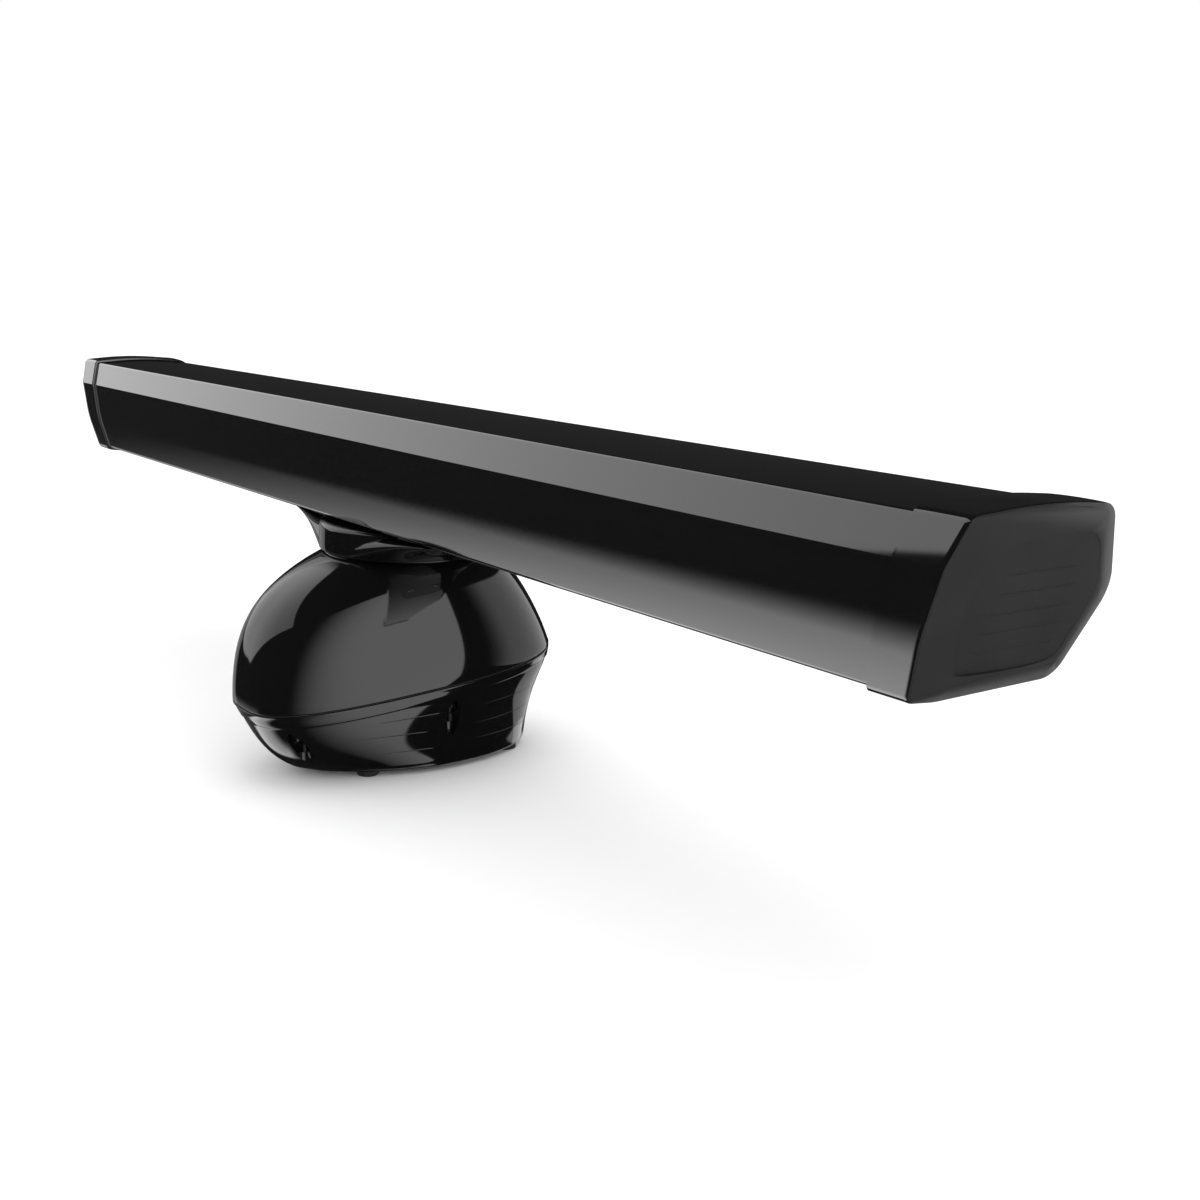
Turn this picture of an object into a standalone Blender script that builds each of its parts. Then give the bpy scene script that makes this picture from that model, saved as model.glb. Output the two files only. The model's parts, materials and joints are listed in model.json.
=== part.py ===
"""Open-array marine radar scanner: a long slotted array that turns on a pedestal.

Metres, +Z up. +X runs along the array and -Y points to the bow, the way the nose faces.
The pieces are modelled round the turning axis. Last of all they are shifted aft, so that the
origin is the middle of the footprint, at the height of the feet's undersides.
"""
import math

import bmesh
import bpy
from mathutils import Matrix, Vector

# ---------------------------------------------------------------- driving dimensions
GAP = 0.0003                # clearance between pieces that touch

# Pedestal outlines. Reaches are measured from the turning axis.
WALL = 0.005                # wall of the two cast housings
FLOOR = 0.006               # thickness of the lower housing's floor
FOOT_HEIGHT = 0.007         # the lower housing stands this high on its feet
SEAM_HEIGHT = 0.1087        # height of the housing seam at the turning axis
SEAM_SLOPE = 0.107          # rise of the seam for each metre aft
SEAM_SIDE = 0.118
SEAM_NOSE = 0.206
SEAM_TAIL = 0.180
BASE_SIDE = 0.093
BASE_NOSE = 0.146
BASE_TAIL = 0.150
SEAM_POWERS = (3.09, 2.16)  # roundness of the outline, fore and aft: 2 is an ellipse
BASE_POWERS = (1.6, 2.3)
SEAM_TAPER = -0.196         # the outline narrows aft by this share
NECK_RADIUS = 0.090
NECK_HEIGHT = 0.251
BAND_STEP = 0.0012          # the wall below the plain band is set in by this much
GASKET_THICKNESS = 0.0012
RING_POINTS = 36            # corners of each pedestal outline

# Housing bolts, in pockets on the lower housing's flanks
BOLT_RADIUS = 0.003
BOLT_HEAD_RADIUS = 0.005
BOLT_HEAD_HEIGHT = 0.010
BOLT_INSET = 0.0115         # axis behind the flank
BOLT_BOSS_RADIUS = 0.0125
BOLT_ENGAGEMENT = 0.018     # length above the seam
HEAD_SEAT = 0.004           # the head bears this far above the pocket's middle
KEY_ROOM = 0.024            # depth of the recess that takes the head and the key
POCKET_HALF = (0.0085, 0.0125, 0.024)   # half width, half depth and half height

# Mounting feet
FOOT_RADIUS = 0.0125
FOOT_SPIGOT_RADIUS = 0.007
FOOT_BORE_RADIUS = 0.00425
FOOT_BORE_DEPTH = 0.010
FOOT_SIDE = 0.052
FOOT_FORWARD = 0.0775
FOOT_AFT = 0.107

# Chassis and bearing tower
CHASSIS_THICKNESS = 0.005
CHASSIS_STANDOFF = 0.027    # underside above the floor
CHASSIS_SIDE = 0.074
CHASSIS_REACH = 0.125
LEG_RADIUS = 0.006
LEG_SIDE = 0.046
LEG_FORWARD = 0.076
LEG_AFT = 0.086
SHAFT_RADIUS = 0.017
SHAFT_BORE_RADIUS = 0.0095
SHAFT_FLANGE_RADIUS = 0.040
SHAFT_FLANGE_THICKNESS = 0.008
BEARING_RADIUS = 0.031
BEARING_WIDTH = 0.015
TOWER_WALL = 0.005
TOWER_FLANGE_RADIUS = 0.062
TOWER_FLANGE_THICKNESS = 0.008
TOWER_FOOT = 0.010          # height of the tower below its lower bearing's seat
BEARING_STEP = 0.003        # height of the shoulders that hold the bearings
SEAL_RADIUS = 0.026
JOINT_RADIUS = 0.019        # the fixed half of the rotary joint

# Electronics on the chassis
CASE_SIDE = 0.040
CASE_FORWARD = 0.122
CASE_HEIGHT = 0.070
FIN_COUNT = 7
FIN_PITCH = 0.012
FIN_THICKNESS = 0.003
FIN_HEIGHT = 0.012
SUPPLY_SIDE = 0.072
SUPPLY_HALF_LENGTH = 0.045
SUPPLY_HEIGHT = 0.075
BOARD_X = 0.066
BOARD_HALF_LENGTH = 0.050
BOARD_LEVELS = (0.012, 0.080)
BOARD_THICKNESS = 0.0016

# Gears
MODULE = 0.0025
GEAR_TEETH = 48
PINION_TEETH = 12
GEAR_WIDTH = 0.010
BACKLASH = 0.0006           # taken off each tooth's thickness at the pitch circle

# Drive motor
MOTOR_RADIUS = 0.029
GEARHEAD_RADIUS = 0.025
GEARHEAD_LENGTH = 0.052
MOTOR_LENGTH = 0.095
MOTOR_BOSS_RADIUS = 0.011
MOTOR_SHAFT_RADIUS = 0.004
MOTOR_PLATE_THICKNESS = 0.006
MOTOR_PLATE_DROP = 0.018    # the plate's top is this far below the tower's top

# Array
ARRAY_LENGTH = 1.924        # over the end caps, at the top
ARRAY_RISE = 0.0300         # underside of the end caps above the neck
CAP_WALL = 0.0035           # end cap surface outside the array's skin
SKIN = 0.003                # wall of the array's tube
ARRAY_FRONT = 0.086
ARRAY_BACK = 0.1045         # corner of the bulging back, before it is rounded
ARRAY_HEIGHT = 0.141        # of the end cap's front wall
UNDERSIDE_FLAT = 0.045      # the flat of the underside ends this far forward of the axis
CROWN = 0.0055              # rise of the top between its two edges
CAP_CROWN = 0.0045          # extra rise at the middle of the cap's sleeve
FACE_SLANT = 0.378          # the cap's face leans out by this much for each metre up
SEAM_SLANT = 0.287          # the same for the joint between the cap and the tube
CAP_WIDTH = 0.0545          # of the sleeve, at the top
CAP_CHAMFER = 0.015
CAP_CHAMFER_DEPTH = 0.005
CAP_EDGE = 0.0015           # the same bevel where it is narrow, along the front and the top
TUBE_INSERT = 0.020         # length of tube inside the cap
END_GASKET_THICKNESS = 0.0015
CAP_SCREW_RADIUS = 0.0022
CAP_SCREW_HEAD = 0.0045
CAP_SCREW_Y = 0.034
PANEL_DEPTH = 0.0020        # recess in the cap's face

# Array bracket
SADDLE_REACH = 0.118        # its lower outline
SADDLE_FRONT = 0.092
SADDLE_BACK = 0.096
SWEEP = ((0.132, 0.50), (0.180, 1.0))   # handles of the wing's underside, as reach and rise
WING_REACH = 0.275
WING_FRONT = 0.053
WING_BACK = 0.058
WING_EDGE = 0.0035
BRACKET_HOLLOW = 0.056
FEED_HOLE_RADIUS = 0.013
FEED_RADIUS = 0.009
ARRAY_BOLT_RADIUS = 0.004
ARRAY_BOLT_HEAD = 0.0065
ARRAY_BOLT_X = 0.200
ARRAY_BOLT_Y = 0.026
SPINE_THICKNESS = 0.012

# Waveguide and horn
GUIDE_WIDTH = 0.0254
GUIDE_HEIGHT = 0.0127
GUIDE_WALL = 0.00127
GUIDE_FRONT = 0.020         # its slotted wall is this far behind the turning axis
GUIDE_SETBACK = 0.047       # its ends are this far inside the array's tube joints
GUIDE_RUN_X = 0.0115        # the guide below the chassis: half width, and its riser's ends
GUIDE_RUN_Y = (-0.110, -0.098)
SLOT_PITCH = 0.044
SLOT_WIDTH = 0.0016
HORN_SHEET = 0.002
HORN_MARGIN = 0.041         # the horn's mouth is lower than the array by this much
HORN_REACH = 0.066

# Rear connector panel
PANEL_HALF_WIDTH = 0.036
PANEL_BOTTOM = 0.022
PANEL_TOP = 0.074
PANEL_SETBACK = 0.012
PANEL_THICKNESS = 0.003
SOCKET_RADIUS = 0.0105
SOCKET_X = 0.019
SOCKET_BARREL = 0.0075
STUD_X = 0.0265
STUD_RADIUS = 0.0025
SWITCH_HALF_WIDTH = 0.0105
SWITCH_HALF_HEIGHT = 0.0065
SWITCH_WALL = 0.0015
SWITCH_TILT = math.radians(10)

# ---------------------------------------------------------------- derived levels
BASE_Z = FOOT_HEIGHT
FLOOR_TOP = BASE_Z + FLOOR
CHASSIS_Z = FLOOR_TOP + CHASSIS_STANDOFF
CHASSIS_TOP = CHASSIS_Z + CHASSIS_THICKNESS
SEAL_Z = NECK_HEIGHT - WALL
GEAR_TOP = SEAL_Z - 0.006           # below the seal's seat
GEAR_Z = GEAR_TOP - GEAR_WIDTH
TOWER_TOP = GEAR_Z - 0.003
TOWER_Z = CHASSIS_TOP + GAP
TOWER_RADIUS = BEARING_RADIUS + TOWER_WALL
FLANGE_Z = NECK_HEIGHT + 0.0015
BRACKET_Z = NECK_HEIGHT + 0.0013
FLANGE_TOP = FLANGE_Z + SHAFT_FLANGE_THICKNESS
CAP_BOTTOM = NECK_HEIGHT + ARRAY_RISE
TUBE_BOTTOM = CAP_BOTTOM + CAP_WALL
TUBE_FLOOR = TUBE_BOTTOM + SKIN
BRACKET_TOP = TUBE_BOTTOM - GAP
SPINE_Z = TUBE_FLOOR + GAP
SPINE_TOP = SPINE_Z + SPINE_THICKNESS
HORN_MOUTH = ARRAY_HEIGHT - HORN_MARGIN
GUIDE_Z = CAP_BOTTOM + ARRAY_HEIGHT / 2 - 0.002
LAUNCHER_TOP = GUIDE_Z - HORN_SHEET - 0.0206
FEED_TOP = LAUNCHER_TOP - 0.003
HORN_BEND = GUIDE_FRONT - 0.002
CENTRE_DISTANCE = MODULE * (GEAR_TEETH + PINION_TEETH) / 2
MOTOR_PLATE_Z = TOWER_TOP - MOTOR_PLATE_DROP - MOTOR_PLATE_THICKNESS
HALF_LENGTH = ARRAY_LENGTH / 2
FACE_X = HALF_LENGTH - FACE_SLANT * ARRAY_HEIGHT    # cap face, at the cap's underside
TOP_SEAM_X = HALF_LENGTH - CAP_WIDTH
SEAM_X = TOP_SEAM_X - SEAM_SLANT * ARRAY_HEIGHT     # tube joint, at the cap's underside
GUIDE_LENGTH = 2 * (SEAM_X - GUIDE_SETBACK)
SLOT_COUNT = int(GUIDE_LENGTH / SLOT_PITCH) - 1
PANEL_Y = BASE_TAIL - PANEL_SETBACK                 # forward side of the connector panel
PANEL_FACE = PANEL_Y + PANEL_THICKNESS
PIVOT_Y = PANEL_FACE - 0.0005
SOCKET_Z = PANEL_BOTTOM + 0.016
SWITCH_Z = PANEL_TOP - 0.0145
SEAM_OFFSET = GASKET_THICKNESS / 2 + GAP
BOSS_DROP = 0.0005          # bosses end this far short of the rims
BOLT_ANGLES = (-112.5, -67.5, 7.0, 173.0, 112.0, 68.0)    # degrees round the outline
POCKET_LEVEL = 0.46         # share of the run from the seam down to the base

NOSE_CURVE = ((0.29, 0.48), (0.62, 0.26))           # lower housing's flanks, as shares of
TAIL_CURVE = ((-0.02, 0.24), (0.26, 0.65))          # the run from the seam to the base
SIDE_CURVE = ((0.13, 0.29), (0.28, 0.42))
NOSE_DOME = ((-0.003, 0.105), (0.068, -0.033))      # dome handles, from the seam and
TAIL_DOME = ((-0.011, 0.030), (0.040, -0.006))      # from the neck
SIDE_DOME = ((0.010, 0.064), (0.018, -0.009))


# ---------------------------------------------------------------- scene helpers
for leftover in list(bpy.data.objects):
    bpy.data.objects.remove(leftover, do_unlink=True)

parts = bpy.data.collections.new("radar_scanner")
cutters = bpy.data.collections.new("cutters")
bpy.context.scene.collection.children.link(parts)
bpy.context.scene.collection.children.link(cutters)


def material(name, colour, roughness, metallic=0.0):
    """A Principled material for one piece."""
    mat = bpy.data.materials.new(name)
    mat.use_nodes = True
    shader = mat.node_tree.nodes["Principled BSDF"]
    shader.inputs["Base Color"].default_value = (*colour, 1.0)
    shader.inputs["Roughness"].default_value = roughness
    shader.inputs["Metallic"].default_value = metallic
    return mat


BLACK_PAINT = ((0.012, 0.012, 0.013), 0.12)
BLACK_GRP = ((0.014, 0.014, 0.015), 0.14)
CAP_PLASTIC = ((0.017, 0.017, 0.018), 0.38)
RUBBER = ((0.020, 0.020, 0.020), 0.75)
STEEL = ((0.55, 0.56, 0.57), 0.30, 1.0)
ALUMINIUM = ((0.62, 0.63, 0.65), 0.40, 1.0)
BRASS = ((0.62, 0.45, 0.20), 0.32, 1.0)
GEAR_NYLON = ((0.72, 0.70, 0.62), 0.45)
CIRCUIT = ((0.03, 0.16, 0.07), 0.50)
FOAM = ((0.80, 0.80, 0.78), 0.90)
DARK_PLASTIC = ((0.025, 0.025, 0.026), 0.45)
SIGNAL_RED = ((0.45, 0.03, 0.02), 0.35)


def add(name, mesh, finish, parent=None, smooth=False):
    """Puts a mesh in the scene as one named piece."""
    obj = bpy.data.objects.new(name, mesh)
    parts.objects.link(obj)
    mesh.materials.clear()
    mesh.materials.append(material(name, *finish))
    obj.parent = parent
    if smooth:
        mesh.shade_smooth()
        mesh.set_sharp_from_angle(angle=math.radians(35))
    return obj


def as_cutter(name, mesh):
    """Puts a mesh in the scene as a cutter, which is no piece of the object."""
    obj = bpy.data.objects.new(name, mesh)
    cutters.objects.link(obj)
    obj.hide_render = True
    obj.display_type = "WIRE"
    return obj


def boolean(target, cutter, operation="DIFFERENCE"):
    """Cuts a piece with a cutter, or joins or trims it."""
    modifier = target.modifiers.new(cutter.name, "BOOLEAN")
    modifier.operation = operation
    modifier.solver = "EXACT"
    modifier.object = cutter


def axis_empty(name, location):
    """An empty on a joint's axis, the parent of what turns on it."""
    empty = bpy.data.objects.new(name, None)
    parts.objects.link(empty)
    empty.location = location
    return empty


def to_mesh(bm, name="shape"):
    """Closes a bmesh into a mesh."""
    mesh = bpy.data.meshes.new(name)
    bm.to_mesh(mesh)
    bm.free()
    return mesh


def put_box(bm, low, high):
    """Adds a box between two corners."""
    low, high = Vector(low), Vector(high)
    size = high - low
    place = Matrix.Translation((low + high) / 2) @ Matrix.Diagonal((*size, 1.0))
    bmesh.ops.create_cube(bm, size=1.0, matrix=place)


def put_cylinder(bm, radius, bottom, top, centre=(0.0, 0.0), sides=24):
    """Adds an upright cylinder."""
    place = Matrix.Translation((*centre, (bottom + top) / 2))
    bmesh.ops.create_cone(bm, cap_ends=True, segments=sides, radius1=radius, radius2=radius,
                          depth=top - bottom, matrix=place)


def box_mesh(low, high):
    bm = bmesh.new()
    put_box(bm, low, high)
    return to_mesh(bm)


def cylinder_mesh(radius, bottom, top, centre=(0.0, 0.0), sides=24):
    bm = bmesh.new()
    put_cylinder(bm, radius, bottom, top, centre, sides)
    return to_mesh(bm)


def turned(name, profile, finish, parent=None, steps=24, closed=True):
    """Turns a profile of (radius, height) points about Z. It runs down its outer side."""
    mesh = bpy.data.meshes.new(name)
    count = len(profile)
    edges = [(i, i + 1) for i in range(count - 1)]
    if closed:
        edges.append((count - 1, 0))
    mesh.from_pydata([(r, 0.0, z) for r, z in profile], edges, [])
    obj = add(name, mesh, finish, parent)
    screw = obj.modifiers.new("turn", "SCREW")
    screw.angle = math.tau
    screw.steps = steps
    screw.render_steps = steps
    screw.use_merge_vertices = True
    screw.merge_threshold = 0.00001
    screw.use_smooth_shade = True
    return obj


def flat_plate(name, outlines, bottom, top, finish, parent=None):
    """A flat piece from closed outlines of (x, y) points, the inner ones being holes."""
    curve = bpy.data.curves.new(name, "CURVE")
    curve.dimensions = "2D"
    curve.fill_mode = "BOTH"
    curve.extrude = (top - bottom) / 2
    for outline in outlines:
        spline = curve.splines.new("POLY")
        spline.points.add(len(outline) - 1)
        for point, (x, y) in zip(spline.points, outline):
            point.co = (x, y, 0.0, 1.0)
        spline.use_cyclic_u = True
    curve.materials.append(material(name, *finish))
    obj = bpy.data.objects.new(name, curve)
    parts.objects.link(obj)
    obj.location = (0.0, 0.0, (top + bottom) / 2)
    obj.parent = parent
    return obj


def circle(radius, count, centre=(0.0, 0.0)):
    """Points of a circle in the XY plane."""
    turns = [math.tau * i / count for i in range(count)]
    return [(centre[0] + radius * math.cos(a), centre[1] + radius * math.sin(a)) for a in turns]


def loft(rings, closed=False):
    """Skins rings of equal point counts. A closed loft joins its last ring to its first."""
    bm = bmesh.new()
    rows = [[bm.verts.new(point) for point in ring] for ring in rings]
    pairs = list(zip(rows, rows[1:]))
    if closed:
        pairs.append((rows[-1], rows[0]))
    count = len(rings[0])
    for low, high in pairs:
        for i in range(count):
            j = (i + 1) % count
            bm.faces.new((low[i], low[j], high[j], high[i]))
    if not closed:
        bm.faces.new(list(reversed(rows[0])))
        bm.faces.new(rows[-1])
    bmesh.ops.recalc_face_normals(bm, faces=bm.faces)
    return to_mesh(bm)


def bezier(start, handle_a, handle_b, end, t):
    """A point on a cubic curve."""
    s = 1 - t
    weights = (s ** 3, 3 * s * s * t, 3 * s * t * t, t ** 3)
    points = (start, handle_a, handle_b, end)
    return tuple(sum(w * p[k] for w, p in zip(weights, points)) for k in range(2))


# ---------------------------------------------------------------- pedestal surfaces
def mix(a, b, t):
    return a + (b - a) * t


def seam_z(y):
    """Height of the tilted seam plane."""
    return SEAM_HEIGHT + SEAM_SLOPE * y


def egg_point(angle, side, nose, tail, powers, taper, heights, inset=0.0):
    """One point of an egg-shaped outline: a superellipse with its own power fore and aft."""
    side, nose, tail = side - inset, nose - inset, tail - inset
    middle, half = (tail - nose) / 2, (tail + nose) / 2
    c, s = math.cos(angle), math.sin(angle)
    power = powers[0] if s < 0 else powers[1]
    reach = (abs(c / side) ** power + abs(s / half) ** power) ** (-1 / power)
    along = reach * s / half
    front, flank, back = heights
    z = flank + (back - front) / 2 * along + ((back + front) / 2 - flank) * along * along
    return Vector((reach * c * (1 - taper * along), middle + reach * s, z))


def lower_point(angle, t, inset=0.0):
    """The lower housing's flank, from the seam (t = 0) to the base (t = 1)."""
    def run(reach_top, y_top, reach_base, curve):
        start, end = (reach_top, seam_z(y_top)), (reach_base, BASE_Z)
        (ax, az), (bx, bz) = curve
        first = (mix(start[0], end[0], ax), mix(start[1], end[1], az))
        second = (mix(end[0], start[0], bx), mix(end[1], start[1], bz))
        return bezier(start, first, second, end, t)

    middle = (SEAM_TAIL - SEAM_NOSE) / 2
    nose = run(SEAM_NOSE, -SEAM_NOSE, BASE_NOSE, NOSE_CURVE)
    tail = run(SEAM_TAIL, SEAM_TAIL, BASE_TAIL, TAIL_CURVE)
    side = run(SEAM_SIDE, middle, BASE_SIDE, SIDE_CURVE)
    powers = [mix(a, b, t) for a, b in zip(SEAM_POWERS, BASE_POWERS)]
    heights = (nose[1], side[1], tail[1])
    taper = mix(SEAM_TAPER, 0.0, t)
    return egg_point(angle, side[0], nose[0], tail[0], powers, taper, heights, inset)


def upper_point(angle, t, inset=0.0, drop=0.0):
    """The upper housing's dome, from the seam (t = 0) to the neck (t = 1)."""
    def run(reach, y, handles):
        start, end = (reach, seam_z(y)), (NECK_RADIUS, NECK_HEIGHT)
        first = (start[0] + handles[0][0], start[1] + handles[0][1])
        second = (end[0] + handles[1][0], end[1] + handles[1][1])
        return bezier(start, first, second, end, t)

    nose = run(SEAM_NOSE, -SEAM_NOSE, NOSE_DOME)
    tail = run(SEAM_TAIL, SEAM_TAIL, TAIL_DOME)
    side = run(SEAM_SIDE, (SEAM_TAIL - SEAM_NOSE) / 2, SIDE_DOME)
    k = t ** 1.5
    powers = [mix(power, 2.0, k) for power in SEAM_POWERS]
    heights = (nose[1] - drop, side[1] - drop, tail[1] - drop)
    taper = mix(SEAM_TAPER, 0.0, k)
    return egg_point(angle, side[0], nose[0], tail[0], powers, taper, heights, inset)


ANGLES = [math.tau * i / RING_POINTS for i in range(RING_POINTS)]


def lower_ring(t, inset=0.0, lift=0.0):
    return [lower_point(a, t, inset) + Vector((0, 0, lift)) for a in ANGLES]


def upper_ring(t, inset=0.0, drop=0.0, lift=0.0):
    return [upper_point(a, t, inset, drop) + Vector((0, 0, lift)) for a in ANGLES]


def flat_ring(points, z):
    return [Vector((p[0], p[1], z)) for p in points]


def bolt_place(degrees):
    """The flank's point at a pocket, its outward direction and the bolt's axis."""
    angle = math.radians(degrees)
    flank = lower_point(angle, POCKET_LEVEL)
    ahead = lower_point(angle + 0.02, POCKET_LEVEL)
    along = (ahead - flank).to_2d().normalized()
    outward = Vector((along.y, -along.x, 0.0))
    axis = flank - outward * BOLT_INSET
    return flank, outward, axis


def solid_lower(inset=0.0, drop=0.0):
    """The lower housing's outer shape, or one a little inside it, as rings from base to seam."""
    levels = (1.0, 0.78, 0.56, 0.34, 0.16)
    rings = [lower_ring(t, BAND_STEP + inset) for t in levels]
    rings += [lower_ring(0.14, inset), lower_ring(0.0, inset, -SEAM_OFFSET - drop)]
    return rings


def housing_bosses(name, rings, bottom, top, radius):
    """Bolt bosses as one cutter, trimmed to stay inside the housing's outer shape."""
    whole = bmesh.new()
    for degrees in BOLT_ANGLES:
        _, outward, axis = bolt_place(degrees)
        bm = bmesh.new()
        put_cylinder(bm, radius, bottom, top, (axis.x, axis.y), 12)
        for vert in bm.verts:
            if (vert.co - axis).dot(outward) > 0.1 * radius:
                vert.co += outward * 3 * BOLT_BOSS_RADIUS
        one = to_mesh(bm)
        whole.from_mesh(one)
        bpy.data.meshes.remove(one)
    bosses = as_cutter(name, to_mesh(whole))
    trim = as_cutter(name + "_trim", loft(rings))
    boolean(bosses, trim, "INTERSECT")
    return bosses


def make_lower_housing():
    """A cast tub with six bolt pockets, foot holes and an opening for the rear panel."""
    outer = solid_lower()
    inner = [lower_ring(0.0, WALL, -SEAM_OFFSET), lower_ring(0.3, WALL + BAND_STEP)]
    inner += [lower_ring(0.6, WALL + BAND_STEP)]
    inner += [flat_ring(lower_ring(1.0, WALL + BAND_STEP), FLOOR_TOP)]
    tub = add("lower_housing", loft(outer + inner), BLACK_PAINT, smooth=True)

    trim = solid_lower(WALL / 2, BOSS_DROP)
    bosses = housing_bosses("lower_bosses", trim, FLOOR_TOP - 0.002, 0.2, BOLT_BOSS_RADIUS)
    boolean(tub, bosses, "UNION")

    bm = bmesh.new()
    for degrees in BOLT_ANGLES:
        flank, _, axis = bolt_place(degrees)
        top = seam_z(axis.y) + 0.005
        put_cylinder(bm, BOLT_RADIUS + GAP, flank.z, top, (axis.x, axis.y), 12)
    for x, y in foot_places():
        put_cylinder(bm, FOOT_SPIGOT_RADIUS + GAP, 0.0, FLOOR_TOP + 0.005, (x, y), 20)
    boolean(tub, as_cutter("lower_holes", to_mesh(bm)))

    bm = bmesh.new()
    for degrees in BOLT_ANGLES:
        put_pocket(bm, degrees)
    boolean(tub, as_cutter("bolt_pockets", to_mesh(bm)))

    bm = bmesh.new()
    for degrees in BOLT_ANGLES:
        flank, _, axis = bolt_place(degrees)
        seat = flank.z + HEAD_SEAT + GAP
        put_cylinder(bm, BOLT_HEAD_RADIUS + GAP, seat - KEY_ROOM, seat, (axis.x, axis.y), 12)
    boolean(tub, as_cutter("bolt_head_recesses", to_mesh(bm)))

    opening = box_mesh((-PANEL_HALF_WIDTH, BASE_TAIL - 0.045, PANEL_BOTTOM),
                       (PANEL_HALF_WIDTH, SEAM_TAIL + 0.02, PANEL_TOP))
    boolean(tub, as_cutter("panel_opening", opening))
    return tub


def put_pocket(bm, degrees):
    """A lens-shaped pocket that leans with the flank."""
    flank, outward, _ = bolt_place(degrees)
    angle = math.radians(degrees)
    above = lower_point(angle, POCKET_LEVEL - 0.15)
    below = lower_point(angle, POCKET_LEVEL + 0.15)
    upward = (above - below).normalized()
    sideways = upward.cross(outward).normalized()
    depth = upward.cross(sideways).normalized()
    turn = Matrix((sideways, depth, upward)).transposed().to_4x4()
    place = Matrix.Translation(flank) @ turn @ Matrix.Diagonal((*POCKET_HALF, 1.0))
    bmesh.ops.create_uvsphere(bm, u_segments=10, v_segments=7, radius=1.0, matrix=place)


def make_upper_housing():
    """The domed cover, open below, with a hole for the shaft seal at the neck."""
    levels = (0.16, 0.34, 0.52, 0.70, 0.87, 1.0)
    outer = [upper_ring(0.0, lift=SEAM_OFFSET)] + [upper_ring(t) for t in levels]
    neck = circle(SEAL_RADIUS, RING_POINTS)
    hole = [flat_ring(neck, NECK_HEIGHT), flat_ring(neck, SEAL_Z)]
    inner = [upper_ring(t, WALL, WALL * t) for t in (1.0, 0.78, 0.48)]
    inner += [upper_ring(0.0, WALL, lift=SEAM_OFFSET)]
    dome = add("upper_housing", loft(outer + hole + inner, closed=True), BLACK_PAINT, smooth=True)

    lowest = seam_z(-SEAM_NOSE)
    highest = seam_z(SEAM_TAIL) + 0.03
    trim = [upper_ring(0.0, WALL / 2, lift=SEAM_OFFSET + BOSS_DROP)]
    trim += [upper_ring(t, WALL / 2) for t in levels]
    bosses = housing_bosses("upper_bosses", trim, lowest - 0.01, highest, BOLT_BOSS_RADIUS - 0.0025)
    boolean(bosses, as_cutter("boss_roof", boss_roof()), "DIFFERENCE")
    boolean(dome, bosses, "UNION")

    bm = bmesh.new()
    for degrees in BOLT_ANGLES:
        axis = bolt_place(degrees)[2]
        seam = seam_z(axis.y)
        end = seam + BOLT_ENGAGEMENT + 0.002
        put_cylinder(bm, BOLT_RADIUS + GAP, seam - 0.01, end, (axis.x, axis.y), 12)
    boolean(dome, as_cutter("upper_holes", to_mesh(bm)))
    return dome


def boss_roof():
    """Takes the bosses off a little above the bolts, parallel to the seam."""
    bm = bmesh.new()
    tilt = Matrix.Rotation(math.atan(SEAM_SLOPE), 4, "X")
    rise = SEAM_HEIGHT + BOLT_ENGAGEMENT + 0.008
    size = 4 * SEAM_NOSE
    place = Matrix.Translation((0, 0, rise)) @ tilt @ Matrix.Translation((0, 0, size / 2))
    bmesh.ops.create_cube(bm, size=size, matrix=place)
    return to_mesh(bm)


def make_housing_gasket():
    """The rubber cord pressed between the housings."""
    half = GASKET_THICKNESS / 2
    rings = [lower_ring(0.0, 0.0005, -half), upper_ring(0.0, 0.0005, lift=half)]
    rings += [upper_ring(0.0, WALL, lift=half), lower_ring(0.0, WALL, -half)]
    return add("housing_gasket", loft(rings, closed=True), RUBBER)


def make_housing_bolts():
    """Six captive bolts that reach up from their pockets into the upper housing."""
    for number, degrees in enumerate(BOLT_ANGLES, 1):
        flank, _, axis = bolt_place(degrees)
        top = seam_z(axis.y) + BOLT_ENGAGEMENT - flank.z
        head_end = HEAD_SEAT - BOLT_HEAD_HEIGHT
        profile = [(0.0, top), (BOLT_RADIUS, top), (BOLT_RADIUS, HEAD_SEAT)]
        profile += [(BOLT_HEAD_RADIUS, HEAD_SEAT), (BOLT_HEAD_RADIUS, head_end), (0.0, head_end)]
        bolt = turned(f"housing_bolt_{number}", profile, STEEL, steps=8, closed=False)
        bolt.location = (axis.x, axis.y, flank.z)


def foot_places():
    return [(side * FOOT_SIDE, y) for y in (-FOOT_FORWARD, FOOT_AFT) for side in (-1, 1)]


def make_feet():
    """Four mounting pads with threaded bores, each held by a spigot in the floor."""
    spigot_top = FLOOR_TOP - GAP
    profile = [(0.0, spigot_top), (FOOT_SPIGOT_RADIUS, spigot_top), (FOOT_SPIGOT_RADIUS, BASE_Z - GAP)]
    profile += [(FOOT_RADIUS, BASE_Z - GAP), (FOOT_RADIUS, 0.0), (FOOT_BORE_RADIUS, 0.0)]
    profile += [(FOOT_BORE_RADIUS, FOOT_BORE_DEPTH), (0.0, FOOT_BORE_DEPTH)]
    for number, place in enumerate(foot_places(), 1):
        foot = turned(f"mounting_foot_{number}", profile, RUBBER, steps=14, closed=False)
        foot.location = (*place, 0.0)


# ---------------------------------------------------------------- inside the pedestal
def egg_outline(side, reach, power, count=40):
    angles = [math.tau * i / count for i in range(count)]
    points = [egg_point(a, side, reach, reach, (power, power), 0.0, (0, 0, 0)) for a in angles]
    return [(p.x, p.y) for p in points]


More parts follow.
